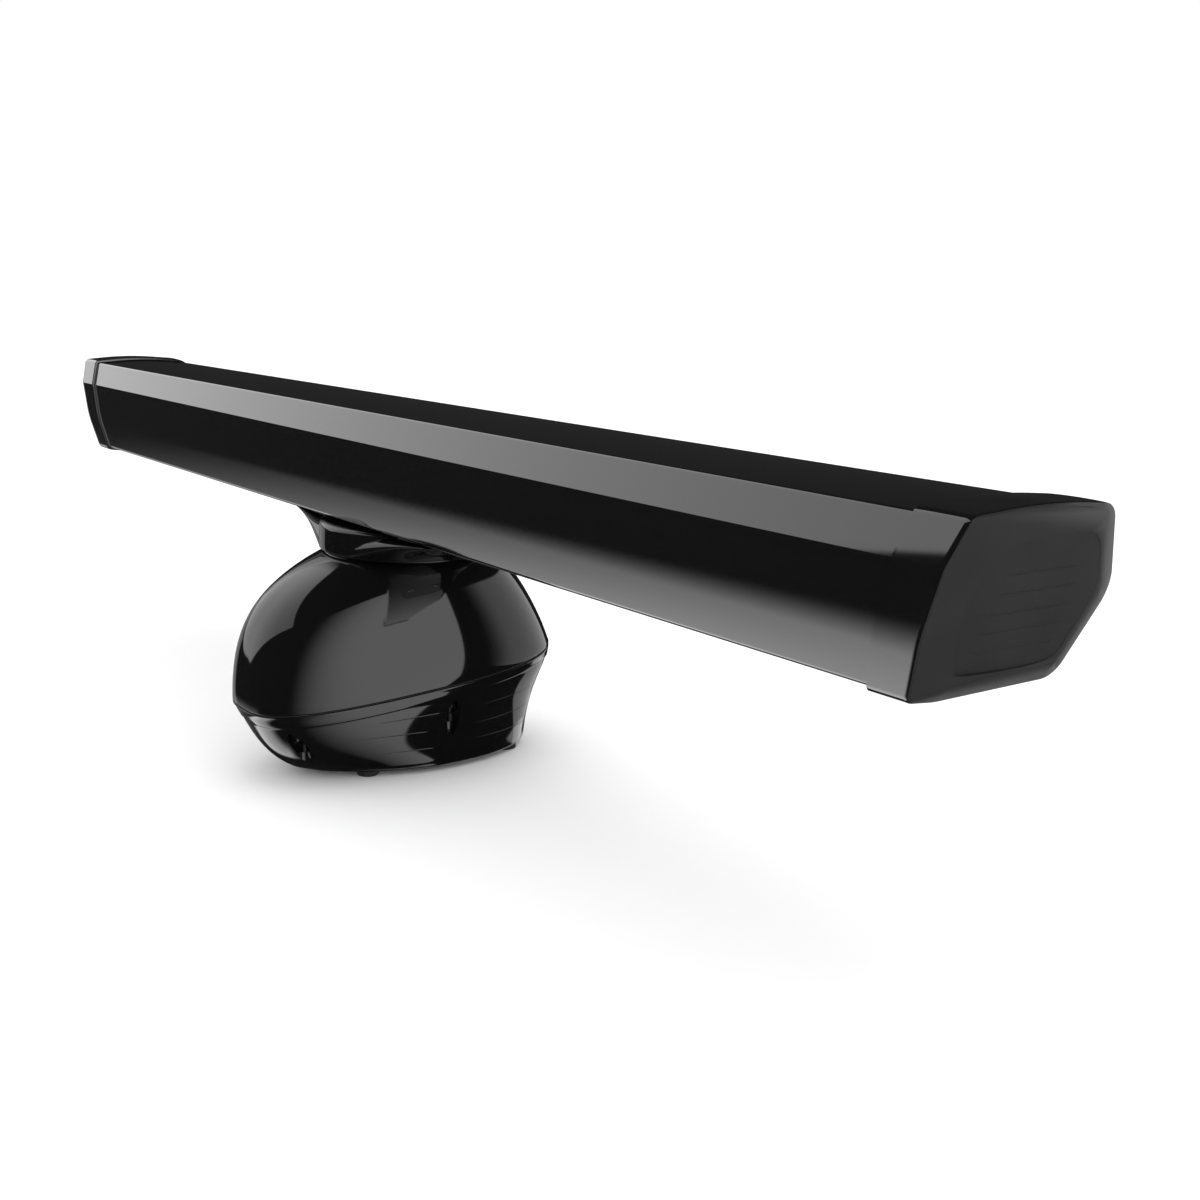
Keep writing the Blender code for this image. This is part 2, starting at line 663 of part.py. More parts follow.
def make_chassis():
    """A plate on four legs, which carries the drive and the electronics."""
    room = 0.001
    slot_x = GUIDE_RUN_X + room
    slot_a, slot_b = GUIDE_RUN_Y[0] - room, GUIDE_RUN_Y[1] + room
    window = [(-slot_x, slot_a), (slot_x, slot_a), (slot_x, slot_b), (-slot_x, slot_b)]
    hole = circle(JOINT_RADIUS + 1.5 * room, 24)
    outline = egg_outline(CHASSIS_SIDE, CHASSIS_REACH, 2.6)
    curve_plate = flat_plate("chassis_blank", [outline, hole, window], CHASSIS_Z, CHASSIS_TOP, ALUMINIUM)
    evaluated = curve_plate.evaluated_get(bpy.context.evaluated_depsgraph_get())
    mesh = bpy.data.meshes.new_from_object(evaluated)
    bm = bmesh.new()
    bm.from_mesh(mesh)
    bmesh.ops.remove_doubles(bm, verts=bm.verts, dist=0.00001)
    bm.to_mesh(mesh)
    bm.free()
    plate = add("chassis_plate", mesh, ALUMINIUM)
    plate.location = (0.0, 0.0, (CHASSIS_Z + CHASSIS_TOP) / 2)
    bpy.data.objects.remove(curve_plate, do_unlink=True)

    bm = bmesh.new()
    leg_top = CHASSIS_Z + CHASSIS_THICKNESS / 2
    for x in (-LEG_SIDE, LEG_SIDE):
        for y in (-LEG_FORWARD, LEG_AFT):
            put_cylinder(bm, LEG_RADIUS, FLOOR_TOP + GAP, leg_top, (x, y), 12)
    boolean(plate, as_cutter("chassis_legs", to_mesh(bm)), "UNION")
    return plate


def make_bearing_tower():
    """A flanged tube with a bearing seat at each end."""
    seat = BEARING_RADIUS + GAP
    bore = BEARING_RADIUS - BEARING_STEP
    flange_top = TOWER_Z + TOWER_FLANGE_THICKNESS
    low_seat = TOWER_Z + TOWER_FOOT + BEARING_WIDTH + 2 * GAP
    high_seat = TOWER_TOP - BEARING_WIDTH - BEARING_STEP
    profile = [(seat, TOWER_TOP), (TOWER_RADIUS, TOWER_TOP), (TOWER_RADIUS, flange_top)]
    profile += [(TOWER_FLANGE_RADIUS, flange_top), (TOWER_FLANGE_RADIUS, TOWER_Z), (seat, TOWER_Z)]
    profile += [(seat, low_seat), (bore, low_seat), (bore, high_seat), (seat, high_seat)]
    turned("bearing_tower", profile, ALUMINIUM)

    inner = SHAFT_RADIUS + GAP
    groove, edge = 0.0012, 0.0003
    race_in, race_out = mix(inner, BEARING_RADIUS, 0.34), mix(inner, BEARING_RADIUS, 0.67)
    low_bottom, high_bottom = low_seat - GAP - BEARING_WIDTH, high_seat + GAP
    for name, bottom in (("lower_bearing", low_bottom), ("upper_bearing", high_bottom)):
        top = bottom + BEARING_WIDTH
        profile = [(inner, top), (race_in, top), (race_in + edge, top - groove)]
        profile += [(race_out - edge, top - groove), (race_out, top)]
        profile += [(BEARING_RADIUS, top), (BEARING_RADIUS, bottom), (inner, bottom)]
        turned(name, profile, STEEL, steps=20)


def make_rotary_joint():
    """The fixed half of the microwave rotary joint and the guide that feeds it."""
    top = CHASSIS_TOP + 0.0045
    bottom = FLOOR_TOP + 0.001
    socket = FEED_RADIUS + GAP
    seat = bottom + 0.016
    profile = [(0.0, seat), (socket, seat), (socket, top), (JOINT_RADIUS, top)]
    profile += [(JOINT_RADIUS, bottom), (0.0, bottom)]
    turned("rotary_joint", profile, BRASS, steps=16, closed=False)

    bm = bmesh.new()
    low = FLOOR_TOP + 0.008
    put_box(bm, (-GUIDE_RUN_X, GUIDE_RUN_Y[0], low), (GUIDE_RUN_X, -JOINT_RADIUS - GAP, low + 0.011))
    guide = add("waveguide_run", to_mesh(bm), BRASS)
    riser = box_mesh((-GUIDE_RUN_X, GUIDE_RUN_Y[0], low + 0.002),
                     (GUIDE_RUN_X, GUIDE_RUN_Y[1], CHASSIS_TOP + GAP))
    boolean(guide, as_cutter("guide_riser", riser), "UNION")


def make_electronics():
    """The transceiver, the power supply and the control board."""
    deck = CHASSIS_TOP + 2 * GAP
    back = -TOWER_FLANGE_RADIUS - 0.002
    block = box_mesh((-CASE_SIDE, -CASE_FORWARD, deck), (CASE_SIDE, back, deck + CASE_HEIGHT))
    case = add("transceiver", block, ALUMINIUM)
    bm = bmesh.new()
    half = FIN_THICKNESS / 2
    low, high = deck + CASE_HEIGHT - 0.001, deck + CASE_HEIGHT + FIN_HEIGHT
    for i in range(FIN_COUNT):
        x = FIN_PITCH * (i - (FIN_COUNT - 1) / 2)
        put_box(bm, (x - half, -CASE_FORWARD + 0.001, low), (x + half, back - 0.001, high))
    boolean(case, as_cutter("transceiver_fins", to_mesh(bm)), "UNION")

    low = deck + TOWER_FLANGE_THICKNESS + 0.002
    supply = box_mesh((-SUPPLY_SIDE, -SUPPLY_HALF_LENGTH, low),
                      (-TOWER_RADIUS - 0.004, SUPPLY_HALF_LENGTH, deck + SUPPLY_HEIGHT))
    add("power_supply", supply, ALUMINIUM)

    low, high = [deck + level for level in BOARD_LEVELS]
    sheet = box_mesh((BOARD_X, -BOARD_HALF_LENGTH, low),
                     (BOARD_X + BOARD_THICKNESS, BOARD_HALF_LENGTH, high))
    board = add("control_board", sheet, CIRCUIT)
    bm = bmesh.new()
    inside = BOARD_X + BOARD_THICKNESS / 2
    chips = ((-0.030, 0.030, 0.008, 0.010), (0.006, 0.045, 0.011, 0.006), (0.034, 0.028, 0.005, 0.014))
    for y, z, half, height in chips:
        put_box(bm, (inside - height, y - half, deck + z - half), (inside, y + half, deck + z + half))
    boolean(board, as_cutter("chips", to_mesh(bm)), "UNION")


def gear_outline(teeth, turn=0.0):
    """A spur gear's outline. Each flank has points at its root, pitch circle and tip."""
    pitch = MODULE * teeth / 2
    root, tip = pitch - 1.15 * MODULE, pitch + 0.85 * MODULE
    base = pitch * math.cos(math.radians(20))

    def involute(radius):
        if radius <= base:
            return 0.0
        a = math.acos(base / radius)
        return math.tan(a) - a

    half = (math.pi * MODULE / 2 - BACKLASH) / (2 * pitch)
    points = []
    for i in range(teeth):
        centre = turn + math.tau * i / teeth
        flank = []
        for radius in (root, pitch, tip):
            wide = half + involute(pitch) - involute(radius)
            flank.append((radius, wide))
        if teeth > 2 * PINION_TEETH:
            flank = [flank[0], flank[2]]
        for radius, wide in flank:
            points.append((radius * math.cos(centre - wide), radius * math.sin(centre - wide)))
        for radius, wide in reversed(flank):
            points.append((radius * math.cos(centre + wide), radius * math.sin(centre + wide)))
    return points


def make_drive(array_axis, motor_axis):
    """The motor, its pinion and the gear on the shaft."""
    gear = gear_outline(GEAR_TEETH, math.pi / 2)
    hub = circle(SHAFT_RADIUS + GAP, 24)
    flat_plate("driven_gear", [gear, hub], GEAR_Z, GEAR_TOP, GEAR_NYLON, array_axis)

    pinion = gear_outline(PINION_TEETH, -math.pi / 2 + math.pi / PINION_TEETH)
    bore = circle(MOTOR_SHAFT_RADIUS + GAP, 16)
    piece = flat_plate("motor_pinion", [pinion, bore], GEAR_Z, GEAR_TOP, STEEL, motor_axis)
    piece.location.z -= motor_axis.location.z

    plate_top = MOTOR_PLATE_Z + MOTOR_PLATE_THICKNESS
    spindle_bottom = plate_top - 0.028
    spindle = cylinder_mesh(MOTOR_SHAFT_RADIUS, spindle_bottom, GEAR_TOP + 0.001, sides=16)
    spindle.transform(Matrix.Translation((0, 0, -motor_axis.location.z)))
    add("motor_shaft", spindle, STEEL, motor_axis)

    body_top = MOTOR_PLATE_Z - GAP
    neck = body_top - GEARHEAD_LENGTH
    bottom = neck - MOTOR_LENGTH
    shaft_hole = MOTOR_SHAFT_RADIUS + GAP
    boss_top = plate_top + 0.001
    hole_end = spindle_bottom - 0.001
    profile = [(0.0, hole_end), (shaft_hole, hole_end), (shaft_hole, boss_top)]
    profile += [(MOTOR_BOSS_RADIUS, boss_top)]
    profile += [(MOTOR_BOSS_RADIUS, body_top), (GEARHEAD_RADIUS, body_top), (GEARHEAD_RADIUS, neck)]
    profile += [(MOTOR_RADIUS, neck), (MOTOR_RADIUS, bottom), (0.0, bottom)]
    motor = turned("drive_motor", profile, DARK_PLASTIC, closed=False, steps=20)
    motor.location = (0.0, CENTRE_DISTANCE, 0.0)

    half = TOWER_RADIUS + 0.010
    front = [math.pi + math.pi * i / 16 for i in range(17)]
    back = [math.pi * i / 12 for i in range(13)]
    corner = [(half * math.cos(a), half * math.sin(a)) for a in front]
    corner += [(GEARHEAD_RADIUS * math.cos(a), CENTRE_DISTANCE + GEARHEAD_RADIUS * math.sin(a)) for a in back]
    holes = [circle(TOWER_RADIUS + GAP, 32), circle(MOTOR_BOSS_RADIUS + GAP, 20, (0.0, CENTRE_DISTANCE))]
    flat_plate("motor_bracket", [corner] + holes, MOTOR_PLATE_Z, plate_top, ALUMINIUM)


def make_shaft(array_axis):
    """The hollow shaft and flange, the lip seal round it and the feed inside it."""
    bottom = CHASSIS_TOP + 0.006
    profile = [(SHAFT_BORE_RADIUS, FLANGE_TOP), (SHAFT_FLANGE_RADIUS, FLANGE_TOP)]
    profile += [(SHAFT_FLANGE_RADIUS, FLANGE_Z), (SHAFT_RADIUS, FLANGE_Z), (SHAFT_RADIUS, bottom)]
    profile.append((SHAFT_BORE_RADIUS, bottom))
    turned("rotor_shaft", profile, STEEL, array_axis)

    lip, rim = SHAFT_RADIUS + GAP, SEAL_RADIUS - GAP
    top, bottom = NECK_HEIGHT - 0.0005, SEAL_Z - 0.0005
    profile = [(lip, top), (rim, top), (rim, bottom), (lip, bottom)]
    turned("shaft_seal", profile, RUBBER)

    rod = cylinder_mesh(FEED_RADIUS, FLOOR_TOP + 0.018, FEED_TOP, sides=20)
    add("feed_rod", rod, BRASS, array_axis)


# ---------------------------------------------------------------- array
def array_outline(inset=0.0, crown=CROWN):
    """The array's cross-section as points and normals, from its rounded corners.

    A corner is (y, z, radius, steps). The middle of the underside is flat.
    """
    top = CAP_BOTTOM + ARRAY_HEIGHT
    corners = [(-ARRAY_FRONT + 0.009, CAP_BOTTOM + 0.0045, 0.009, 4), (-UNDERSIDE_FLAT, CAP_BOTTOM, 0.100, 3)]
    corners += [(ARRAY_BACK - 0.026, CAP_BOTTOM, 0.020, 4)]
    corners += [(ARRAY_BACK, CAP_BOTTOM + 0.070, 0.035, 5), (ARRAY_BACK - 0.0335, top - 0.0025, 0.028, 5)]
    corners += [(-0.006, top + crown, 0.500, 3), (-ARRAY_FRONT, top + 0.001, 0.015, 5)]
    corners += [(-ARRAY_FRONT - 0.0005, CAP_BOTTOM + 0.055, 0.150, 3)]
    points = []
    count = len(corners)
    for i, (y, z, radius, steps) in enumerate(corners):
        here = Vector((y, z))
        before = Vector(corners[i - 1][:2])
        after = Vector(corners[(i + 1) % count][:2])
        back = (before - here).normalized()
        ahead = (after - here).normalized()
        half_angle = back.angle(ahead) / 2
        centre = here + (back + ahead).normalized() * radius / math.sin(half_angle)
        first = Vector((back.y, -back.x))
        if first.dot(ahead) > 0:
            first = -first
        last = Vector((-ahead.y, ahead.x))
        if last.dot(back) > 0:
            last = -last
        sweep = first.angle_signed(last)
        for k in range(steps):
            turn = -sweep * k / (steps - 1)
            c, s = math.cos(turn), math.sin(turn)
            normal = Vector((first.x * c - first.y * s, first.x * s + first.y * c))
            points.append((centre + normal * (radius - inset), normal))
    return points


def array_ring(seam_x, slant, inset=0.0):
    """The section on a slanted plane; x is measured at the cap's underside."""
    ring = []
    for (y, z), _ in array_outline(inset):
        ring.append(Vector((seam_x + slant * (z - CAP_BOTTOM), y, z)))
    return ring


def mirrored(ring):
    return [Vector((-p.x, p.y, p.z)) for p in ring]


def make_tube(array_axis):
    """The array's glass-fibre tube, open at both ends, with holes for feed and bolts."""
    end = SEAM_X + TUBE_INSERT
    outer = array_ring(end, SEAM_SLANT, CAP_WALL)
    inner = array_ring(end, SEAM_SLANT, CAP_WALL + SKIN)
    skin = loft([mirrored(outer), outer, inner, mirrored(inner)], closed=True)
    tube = add("array_tube", skin, BLACK_GRP, array_axis, smooth=True)
    bm = bmesh.new()
    low, high = TUBE_BOTTOM - 0.01, TUBE_FLOOR + 0.01
    put_cylinder(bm, FEED_HOLE_RADIUS, low, high)
    for place in array_bolt_places():
        put_cylinder(bm, ARRAY_BOLT_RADIUS + GAP, low, high, place, 12)
    for x, y in cap_screw_places():
        put_cylinder(bm, CAP_SCREW_RADIUS + GAP, low, high, (x, y), 8)
    boolean(tube, as_cutter("tube_holes", to_mesh(bm)))


def cap_screw_places():
    x = SEAM_X + TUBE_INSERT / 2
    return [(end * x, side * CAP_SCREW_Y) for end in (-1, 1) for side in (-1, 1)]


def array_bolt_places():
    return [(x * ARRAY_BOLT_X, y * ARRAY_BOLT_Y) for x in (-1, 1) for y in (-1, 1)]


def make_end_caps(array_axis):
    """Each cap is a sleeve over the tube's end, closed by a slanted face."""
    rim, face = [], []
    for point, normal in array_outline():
        share = min(1.0, max(0.0, normal.x) + max(0.0, -normal.y))
        inner = point - normal * mix(CAP_EDGE, CAP_CHAMFER, share)
        depth = mix(CAP_EDGE, CAP_CHAMFER_DEPTH, share)
        rim.append(Vector((FACE_X + FACE_SLANT * (point.y - CAP_BOTTOM) - depth, point.x, point.y)))
        face.append(Vector((FACE_X + FACE_SLANT * (inner.y - CAP_BOTTOM), inner.x, inner.y)))
    mouth = array_ring(SEAM_X, SEAM_SLANT)
    middle = [mouth[i].lerp(rim[i], 0.5) for i in range(len(rim))]
    for i, (point, normal) in enumerate(array_outline(crown=CROWN + CAP_CROWN)):
        middle[i].z = max(middle[i].z, point.y) if normal.y > 0.8 else middle[i].z
    deep = SEAM_X + TUBE_INSERT + END_GASKET_THICKNESS + 2 * GAP
    sleeve = array_ring(SEAM_X, SEAM_SLANT, CAP_WALL - GAP)
    floor = array_ring(deep, SEAM_SLANT, CAP_WALL - GAP)
    rings = [face, rim, middle, mouth, sleeve, floor]

    for name, flip in (("end_cap_starboard", False), ("end_cap_port", True)):
        shape = [mirrored(r) for r in rings] if flip else rings
        cap = add(name, loft(shape), CAP_PLASTIC, array_axis, smooth=True)
        sign = -1 if flip else 1
        bm = bmesh.new()
        for x, y in cap_screw_places():
            if x * sign > 0:
                put_cylinder(bm, CAP_SCREW_RADIUS + GAP, CAP_BOTTOM - 0.01, TUBE_BOTTOM + 0.001, (x, y), 8)
        boolean(cap, as_cutter(name + "_holes", to_mesh(bm)))
        boolean(cap, as_cutter(name + "_panel", panel_recess(sign)))

        near = SEAM_X + TUBE_INSERT + GAP
        far = near + END_GASKET_THICKNESS
        corners = ((near, CAP_WALL), (far, CAP_WALL), (far, CAP_WALL + SKIN), (near, CAP_WALL + SKIN))
        seal = [array_ring(x, SEAM_SLANT, inset) for x, inset in corners]
        seal = [mirrored(r) for r in seal] if flip else seal
        add(name.replace("end_cap", "end_gasket"), loft(seal, closed=True), RUBBER, array_axis)

    for number, place in enumerate(cap_screw_places(), 1):
        under = CAP_BOTTOM - GAP
        top = TUBE_FLOOR + 0.004
        profile = [(0.0, top), (CAP_SCREW_RADIUS, top), (CAP_SCREW_RADIUS, under), (CAP_SCREW_HEAD, under)]
        profile += [(CAP_SCREW_HEAD - 0.0003, under - 0.0018), (0.0, under - 0.0024)]
        screw = turned(f"cap_screw_{number}", profile, STEEL, array_axis, steps=8, closed=False)
        screw.location = (*place, 0.0)


def panel_recess(sign):
    """Cuts the shallow recess in a cap's face: its front edge is a bow, its back follows the bulge."""
    top = CAP_BOTTOM + ARRAY_HEIGHT
    corners = [(-0.036, CAP_BOTTOM + 0.018), (0.058, CAP_BOTTOM + 0.018), (0.079, CAP_BOTTOM + 0.070)]
    corners += [(0.050, top - 0.022), (-0.036, top - 0.022), (-0.048, top - 0.045)]
    corners += [(-0.052, top - 0.075), (-0.046, CAP_BOTTOM + 0.038)]
    rings = []
    for offset in (-PANEL_DEPTH, 0.010):
        ring = [Vector((FACE_X + FACE_SLANT * (z - CAP_BOTTOM) + offset, y, z)) for y, z in corners]
        rings.append(mirrored(ring) if sign < 0 else ring)
    return loft(rings)


def make_bracket(array_axis):
    """The saddle that carries the array: a round middle that spreads into two thin wings."""
    tip = BRACKET_TOP - WING_EDGE
    handles = [(reach, mix(BRACKET_Z, tip, rise)) for reach, rise in SWEEP]
    rings = []
    for t in (0.0, 0.18, 0.36, 0.56, 0.78, 1.0):
        length, z = bezier((SADDLE_REACH, BRACKET_Z), *handles, (WING_REACH, tip), t)
        ease = t ** 1.6
        nose = mix(SADDLE_FRONT, WING_FRONT, ease)
        tail = mix(SADDLE_BACK, WING_BACK, ease)
        power = mix(2.0, 3.5, t)
        rings.append([egg_point(a, length, nose, tail, (power, power), 0.0, (z, z, z)) for a in ANGLES])
    rings.append(flat_ring(rings[-1], BRACKET_TOP))
    hole = circle(FEED_HOLE_RADIUS, RING_POINTS)
    hollow = circle(BRACKET_HOLLOW, RING_POINTS)
    ceiling = FLANGE_TOP + GAP
    rings += [flat_ring(hole, BRACKET_TOP), flat_ring(hole, ceiling), flat_ring(hollow, ceiling)]
    rings += [flat_ring(hollow, BRACKET_Z)]
    bracket = add("array_bracket", loft(rings, closed=True), BLACK_PAINT, array_axis, smooth=True)
    bm = bmesh.new()
    for place in array_bolt_places():
        put_cylinder(bm, ARRAY_BOLT_RADIUS + GAP, BRACKET_Z, BRACKET_TOP + 0.01, place, 12)
    boolean(bracket, as_cutter("bracket_holes", to_mesh(bm)))
    bm = bmesh.new()
    for place in array_bolt_places():
        put_cylinder(bm, ARRAY_BOLT_HEAD + 0.0012, BRACKET_Z, tip, place, 16)
    boolean(bracket, as_cutter("bracket_counterbores", to_mesh(bm)))

    for number, place in enumerate(array_bolt_places(), 1):
        under = tip - GAP
        top = SPINE_TOP - 0.001
        profile = [(0.0, top), (ARRAY_BOLT_RADIUS, top), (ARRAY_BOLT_RADIUS, under)]
        profile += [(ARRAY_BOLT_HEAD, under), (ARRAY_BOLT_HEAD, under - 0.005), (0.0, under - 0.005)]
        bolt = turned(f"array_bolt_{number}", profile, STEEL, array_axis, steps=8, closed=False)
        bolt.location = (*place, 0.0)


def make_array_core(array_axis):
    """The spine, the slotted guide with its horn, and what holds them in the tube."""
    half_length, half_width = WING_REACH - 0.035, ARRAY_BOLT_Y + 0.012
    plate = box_mesh((-half_length, -half_width, SPINE_Z), (half_length, half_width, SPINE_TOP))
    spine = add("array_spine", plate, ALUMINIUM, array_axis)
    bm = bmesh.new()
    put_cylinder(bm, FEED_HOLE_RADIUS, SPINE_Z - 0.01, SPINE_TOP + 0.01)
    for place in array_bolt_places():
        put_cylinder(bm, ARRAY_BOLT_RADIUS + GAP, SPINE_Z - 0.01, SPINE_TOP + 0.01, place, 12)
    boolean(spine, as_cutter("spine_holes", to_mesh(bm)))

    make_slotted_guide(array_axis)
    make_horn(array_axis)

    aft = GUIDE_FRONT + GUIDE_WIDTH
    under_horn = GUIDE_Z - 2 * GAP - HORN_SHEET
    base = SPINE_TOP + GAP
    block = box_mesh((-0.025, -0.016, base), (0.025, aft, LAUNCHER_TOP))
    launcher = add("feed_launcher", block, BRASS, array_axis)
    riser = box_mesh((-0.0155, GUIDE_FRONT, LAUNCHER_TOP - 0.002), (0.0155, aft, under_horn))
    boolean(launcher, as_cutter("launcher_riser", riser), "UNION")
    bore = cylinder_mesh(FEED_RADIUS + GAP, base - 0.01, FEED_TOP + GAP, sides=20)
    boolean(launcher, as_cutter("launcher_bore", bore))
    for name, x in (("horn_support_port", -0.170), ("horn_support_starboard", 0.170)):
        low, high = (x - 0.015, GUIDE_FRONT, base), (x + 0.015, aft, under_horn)
        add(name, box_mesh(low, high), ALUMINIUM, array_axis)

    floor = TUBE_FLOOR + GAP
    wedge_top = under_horn - GAP
    slope = ((HORN_MOUTH - GUIDE_HEIGHT) / 2 - GAP) / (HORN_BEND + HORN_REACH)
    front = 0.008 - UNDERSIDE_FLAT
    front_top = wedge_top - slope * (HORN_BEND - front) - GAP
    profile = [(front, floor), (aft, floor), (aft, wedge_top), (HORN_BEND, wedge_top - GAP)]
    profile.append((front, front_top))
    for number, x in enumerate((-0.560, 0.560), 1):
        rings = [[Vector((x + end * 0.020, y, z)) for y, z in profile] for end in (-1, 1)]
        add(f"foam_block_{number}", loft(rings), FOAM, array_axis)


def make_slotted_guide(array_axis):
    """A rectangular guide whose narrow front wall is cut by slots, leaning left and right."""
    half = GUIDE_LENGTH / 2
    rings = []
    for x, wall in ((-half, 0.0), (half, 0.0), (half, GUIDE_WALL), (-half, GUIDE_WALL)):
        y0, y1 = GUIDE_FRONT + wall, GUIDE_FRONT + GUIDE_WIDTH - wall
        z0, z1 = GUIDE_Z + wall, GUIDE_Z + GUIDE_HEIGHT - wall
        rings.append([Vector((x, y0, z0)), Vector((x, y1, z0)), Vector((x, y1, z1)), Vector((x, y0, z1))])
    guide = add("slotted_guide", loft(rings, closed=True), ALUMINIUM, array_axis)
    bm = bmesh.new()
    height = GUIDE_HEIGHT - 2 * GUIDE_WALL - 0.002
    for i in range(SLOT_COUNT):
        x = (i - (SLOT_COUNT - 1) / 2) * SLOT_PITCH
        lean = math.radians(12 if i % 2 else -12)
        centre = Matrix.Translation((x, GUIDE_FRONT, GUIDE_Z + GUIDE_HEIGHT / 2))
        place = centre @ Matrix.Rotation(lean, 4, "Y")
        size = Matrix.Diagonal((SLOT_WIDTH, GUIDE_WALL * 3, height, 1.0))
        bmesh.ops.create_cube(bm, size=1.0, matrix=place @ size)
    boolean(guide, as_cutter("guide_slots", to_mesh(bm)))


def make_horn(array_axis):
    """A folded sheet that wraps the guide and flares to the front."""
    throat_low, throat_high = GUIDE_Z - GAP, GUIDE_Z + GUIDE_HEIGHT + GAP
    middle = (throat_low + throat_high) / 2
    aft = GUIDE_FRONT + GUIDE_WIDTH + GAP
    inside = [(-HORN_REACH, middle - HORN_MOUTH / 2), (HORN_BEND, throat_low), (aft, throat_low)]
    outside = [(-HORN_REACH, middle - HORN_MOUTH / 2 - HORN_SHEET), (HORN_BEND, throat_low - HORN_SHEET)]
    outside += [(aft + HORN_SHEET, throat_low - HORN_SHEET)]
    flipped_in = [(y, 2 * middle - z) for y, z in reversed(inside)]
    flipped_out = [(y, 2 * middle - z) for y, z in outside]
    profile = inside + flipped_in + flipped_out + list(reversed(outside))
    half = GUIDE_LENGTH / 2 - 0.01
    rings = [[Vector((end * half, y, z)) for y, z in profile] for end in (-1, 1)]
    add("horn", loft(rings), ALUMINIUM, array_axis)


# ---------------------------------------------------------------- rear panel
def put_aft_cylinder(bm, radius, start, end, x, z, sides):
    """Adds a cylinder whose axis points aft."""
    place = Matrix.Translation((x, (start + end) / 2, z)) @ Matrix.Rotation(math.radians(90), 4, "X")
    bmesh.ops.create_cone(bm, cap_ends=True, segments=sides, radius1=radius, radius2=radius,
                          depth=end - start, matrix=place)


def make_rear_panel():
    """A recessed tray with holes for the sockets, the earth stud, the vent and the switch."""
    half = PANEL_HALF_WIDTH - GAP
    low, high = PANEL_BOTTOM + GAP, PANEL_TOP - GAP
    wall = 0.0025
    rim = SEAM_TAIL + 0.02
    tray = add("connector_panel", box_mesh((-half, PANEL_Y, low), (half, rim, high)), DARK_PLASTIC)
    hollow = box_mesh((-half + wall, PANEL_FACE, low + wall), (half - wall, rim + 0.01, high - wall))
    boolean(tray, as_cutter("panel_hollow", hollow))
    boolean(tray, as_cutter("panel_trim", loft(solid_lower())), "INTERSECT")

    bm = bmesh.new()
    start, end = PANEL_Y - 0.005, PANEL_FACE + 0.005
    for x in (-SOCKET_X, SOCKET_X):
        put_aft_cylinder(bm, SOCKET_BARREL + GAP, start, end, x, SOCKET_Z, 16)
        put_aft_cylinder(bm, STUD_RADIUS + GAP, start, end, x * STUD_X / SOCKET_X, SWITCH_Z, 10)
    wide, tall = SWITCH_HALF_WIDTH + SWITCH_WALL + GAP, SWITCH_HALF_HEIGHT + SWITCH_WALL + GAP
    put_box(bm, (-wide, start, SWITCH_Z - tall), (wide, end, SWITCH_Z + tall))
    boolean(tray, as_cutter("panel_holes", to_mesh(bm)))


def aft_turned(name, profile, x, z, finish, steps):
    """A turned piece on the panel's face; its profile's heights are measured aft."""
    piece = turned(name, profile, finish, steps=steps, closed=False)
    piece.rotation_euler = (math.radians(-90), 0.0, 0.0)
    piece.location = (x, PANEL_FACE, z)


def make_sockets():
    """The power and network sockets, the earth stud and the breather vent."""
    for name, x, bore in (("power_socket", -SOCKET_X, 0.0062), ("network_socket", SOCKET_X, 0.0055)):
        profile = [(0.0, 0.0035), (bore, 0.0035), (bore, 0.0105), (0.0085, 0.0105), (0.0085, 0.0028)]
        profile += [(SOCKET_RADIUS, 0.0028), (SOCKET_RADIUS, GAP), (SOCKET_BARREL, GAP)]
        profile += [(SOCKET_BARREL, -0.012), (0.0, -0.012)]
        aft_turned(name, profile, x, SOCKET_Z, STEEL, 12)
    stud = [(0.0, 0.009), (STUD_RADIUS, 0.009), (STUD_RADIUS, 0.004), (0.0045, 0.004), (0.0045, GAP)]
    stud += [(STUD_RADIUS, GAP), (STUD_RADIUS, -0.008), (0.0, -0.008)]
    aft_turned("earth_stud", stud, -STUD_X, SWITCH_Z, BRASS, 10)
    vent = [(0.0, 0.0045), (0.004, 0.0045), (0.005, 0.0035), (0.005, GAP), (STUD_RADIUS, GAP)]
    vent += [(STUD_RADIUS, -0.006), (0.0, -0.006)]
    aft_turned("breather_vent", vent, STUD_X, SWITCH_Z, DARK_PLASTIC, 10)


